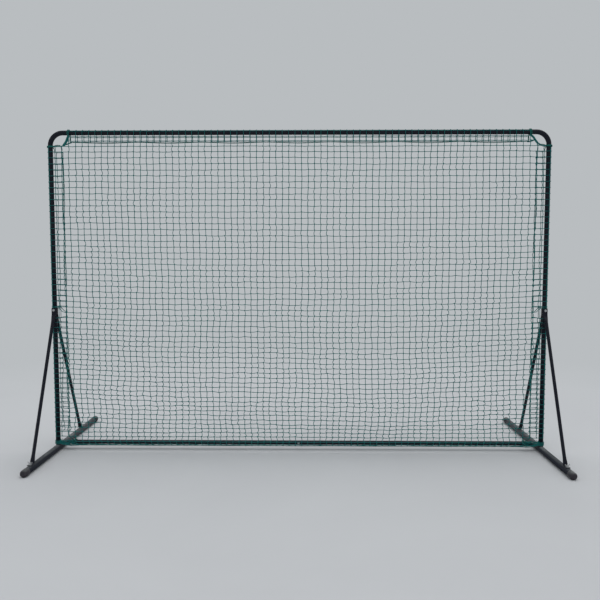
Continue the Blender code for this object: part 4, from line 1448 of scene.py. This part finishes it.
# The net's edge drawn up from the post tie to the rail tie, as (x, y, z) on the left and on the right
GATHERED = {-1: ((-1.4680, -0.098, 1.8525), (-1.4400, -0.106, 1.8535), (-1.4040, -0.107, 1.8570),
                 (-1.3880, -0.107, 1.8800), (-1.3790, -0.105, 1.9030), (-1.3745, -0.100, 1.9165)),
            1: ((1.4680, -0.098, 1.8500), (1.4420, -0.106, 1.8540), (1.4150, -0.107, 1.8690),
                (1.4010, -0.107, 1.8860), (1.3910, -0.106, 1.9020), (1.3765, -0.100, 1.9165))}
GATHER_TURN = 3
GATHER_PITCH = 0.055
GATHER_STEP = 0.005
# The twines that carry the turned-over edge on, from the end of its rope to the thick part
EDGE_ENDS = {-1: ((-1.3610, -0.0836, 1.8800), (-1.3720, -0.0885, 1.8760), (-1.3860, -0.0960, 1.8680),
                  (-1.4010, -0.1035, 1.8620)),
             1: ((1.3610, -0.0836, 1.8800), (1.3730, -0.0870, 1.8785), (1.3860, -0.0960, 1.8810),
                 (1.3990, -0.1050, 1.8875))}
# Twines in that edge, in the thin and in the thick part of each, and how far off its middle they lie
EDGE_TWINES = (3, 0.0022)
THIN_GATHER = {-1: (3, 0.0022), 1: (4, 0.0028)}
THICK_GATHER = {-1: (9, 0.0058), 1: (7, 0.0046)}
# Strands of each lower corner: the lowest one's place at the post, and how far apart they are there
FOOT_STRANDS = 9
FOOT_GATHER_POST = (1.4734, -0.1086, 0.045)
FOOT_GATHER_RISE = 0.00265
# Where they go under the rail's tie: along the rail, and half their spread round it in degrees
FOOT_GATHER_END = 1.3976
FOOT_GATHER_SPREAD = 65
# How loose they hang at these shares of their way
FOOT_GATHER_SHARES = (0, 0.3, 0.55, 0.8, 1.0)
FOOT_LOOSE_Y = (-0.004, 0.004)
FOOT_LOOSE_Z = (-0.010, 0.002)
FOOT_GATHER_STEP = 0.006
# The net's edge round each post's foot: turns, lowest place, and rise of a turn
FOOT_WRAPS = 4
FOOT_WRAP_Z = 0.0430
FOOT_WRAP_RISE = 0.0058
# The way of the lowest row from the rail's tie to the post, and how far apart the rows above it are there
FOOT_DRAWN = ((1.4020, -0.0790, 0.0225), (1.4250, -0.0870, 0.0270), (1.4480, -0.0960, 0.0345),
              (1.4730, -0.1080, 0.0450))
FOOT_DRAWN_RISE = 0.0055
WRAP_STEPS = 16


def on_route(points, axis, value):
    """Place on straight runs between points where one coordinate has a value."""
    for first, second in zip(points, points[1:]):
        if min(first[axis], second[axis]) <= value <= max(first[axis], second[axis]):
            share = (value - first[axis]) / (second[axis] - first[axis])
            return Vector(first).lerp(Vector(second), share)
    return Vector(min(points, key=lambda point: abs(point[axis] - value)))


def top_gathers():
    """Twines drawn together along the net's edge at the top corners: thin to the post, thick to the rail."""
    for side, points in GATHERED.items():
        runs = []
        for part, (count, off) in ((points[:GATHER_TURN + 1], THIN_GATHER[side]),
                                   (points[GATHER_TURN - 1:], THICK_GATHER[side]),
                                   (EDGE_ENDS[side], EDGE_TWINES)):
            runs += twisted(smooth_route(part, GATHER_STEP), count, off, GATHER_PITCH)
        netted(f"top_gather_{word(side)}", runs)


def foot_gathers():
    """The net's lower corners, drawn from the foot of each post to the tie on the bottom rail."""
    place = random.Random(SEED + 1)
    radius = BOTTOM_R + ROPE_R + TIE_SLACK
    for side in (-1, 1):
        mirror = Vector((side, 1, 1))
        runs = []
        for number in range(FOOT_STRANDS):
            first = Vector(FOOT_GATHER_POST) + Vector((0, 0, FOOT_GATHER_RISE * number))
            angle = math.radians(FOOT_GATHER_SPREAD * (2 * number / (FOOT_STRANDS - 1) - 1))
            last = Vector((FOOT_GATHER_END, BOTTOM_Y - radius * math.cos(angle),
                           PRESSED_Z + radius * math.sin(angle)))
            points = []
            for share in FOOT_GATHER_SHARES:
                loose = Vector((0, place.uniform(*FOOT_LOOSE_Y), place.uniform(*FOOT_LOOSE_Z)))
                points.append((first.lerp(last, share) + math.sin(PI * share) * loose) * mirror)
            runs.append([(point, 1.0) for point in smooth_route(points, FOOT_GATHER_STEP)])
        steps = FOOT_WRAPS * WRAP_STEPS + 2
        runs.append([(wrapped_place(side, step / WRAP_STEPS), 1.0) for step in range(steps)])
        netted(f"foot_gather_{word(side)}", runs)


def wrapped_place(side, turns):
    """Place on the edge that is wound round the foot of a post."""
    angle = 2 * PI * turns
    radius = TUBE_R + TWINE_R + TIE_SLACK
    return Vector((side * (POST_X - radius * math.cos(angle)), POST_Y - radius * math.sin(angle),
                   FOOT_WRAP_Z + FOOT_WRAP_RISE * turns))


def netted(name, runs, stood_for=None):
    piece(strands(f"net_{name}", runs, TWINE_R, 1), TWINE, stood_for)


def netting():
    """Columns, rows and knots of the net, each in a few pieces."""
    net = Net()
    lines = {number: net.column(number, *column_rows(number)) for number in net.numbers}
    for number, run in lines.items():
        if FIELD_EDGE < abs(number) <= CORNER_EDGE:
            run.insert(0, (on_route(GATHERED[1 if number > 0 else -1], 0, run[0][0].x), 1.0))
    third = COLUMNS_A_SIDE // 3
    for name, low, high, stood_for in (("left", -COLUMNS_A_SIDE, -third - 1, "net_left_edge"),
                                       ("middle", -third, third, "net_front"),
                                       ("right", third + 1, COLUMNS_A_SIDE, "net_right_edge")):
        netted(f"columns_{name}", [run for number, run in lines.items() if low <= number <= high], stood_for)
    for name, low, high, stood_for in (("upper", -TOP_ROWS, UPPER_END, "net_top_edge"),
                                       ("middle", UPPER_END + 1, MIDDLE_END, None),
                                       ("lower", MIDDLE_END + 1, LAST_ROW, "net_bottom_edge")):
        runs = {row: net.row(row, -row_columns(row), row_columns(row)) for row in range(low, high + 1)}
        for row, run in runs.items():
            if row > FRONT_GAPS:
                rise = Vector((0, 0, FOOT_DRAWN_RISE * (LAST_ROW - row)))
                for place in FOOT_DRAWN:
                    run.insert(0, (Vector(place) * Vector((-1, 1, 1)) + rise, 1.0))
                    run.append((Vector(place) + rise, 1.0))
            if row in (-1, -2):
                run.insert(0, (on_route(GATHERED[-1], 2, run[0][0].z), 1.0))
                run.append((on_route(GATHERED[1], 2, run[-1][0].z), 1.0))
        netted(f"rows_{name}", list(runs.values()), stood_for)
        loops = knot_loops(net, low, high)
        piece(strands(f"net_knots_{name}", loops, KNOT_LOOP_TWINE, 0, cyclic=True), TWINE)


camera()
stage()
lights()
frame_tube(-1)
frame_tube(1)
bottom_rails()
foot_bars()
stays()
foot_caps()
hardware()
border_ropes()
corner_ties()
netting()
top_gathers()
foot_gathers()

bpy.context.view_layer.update()
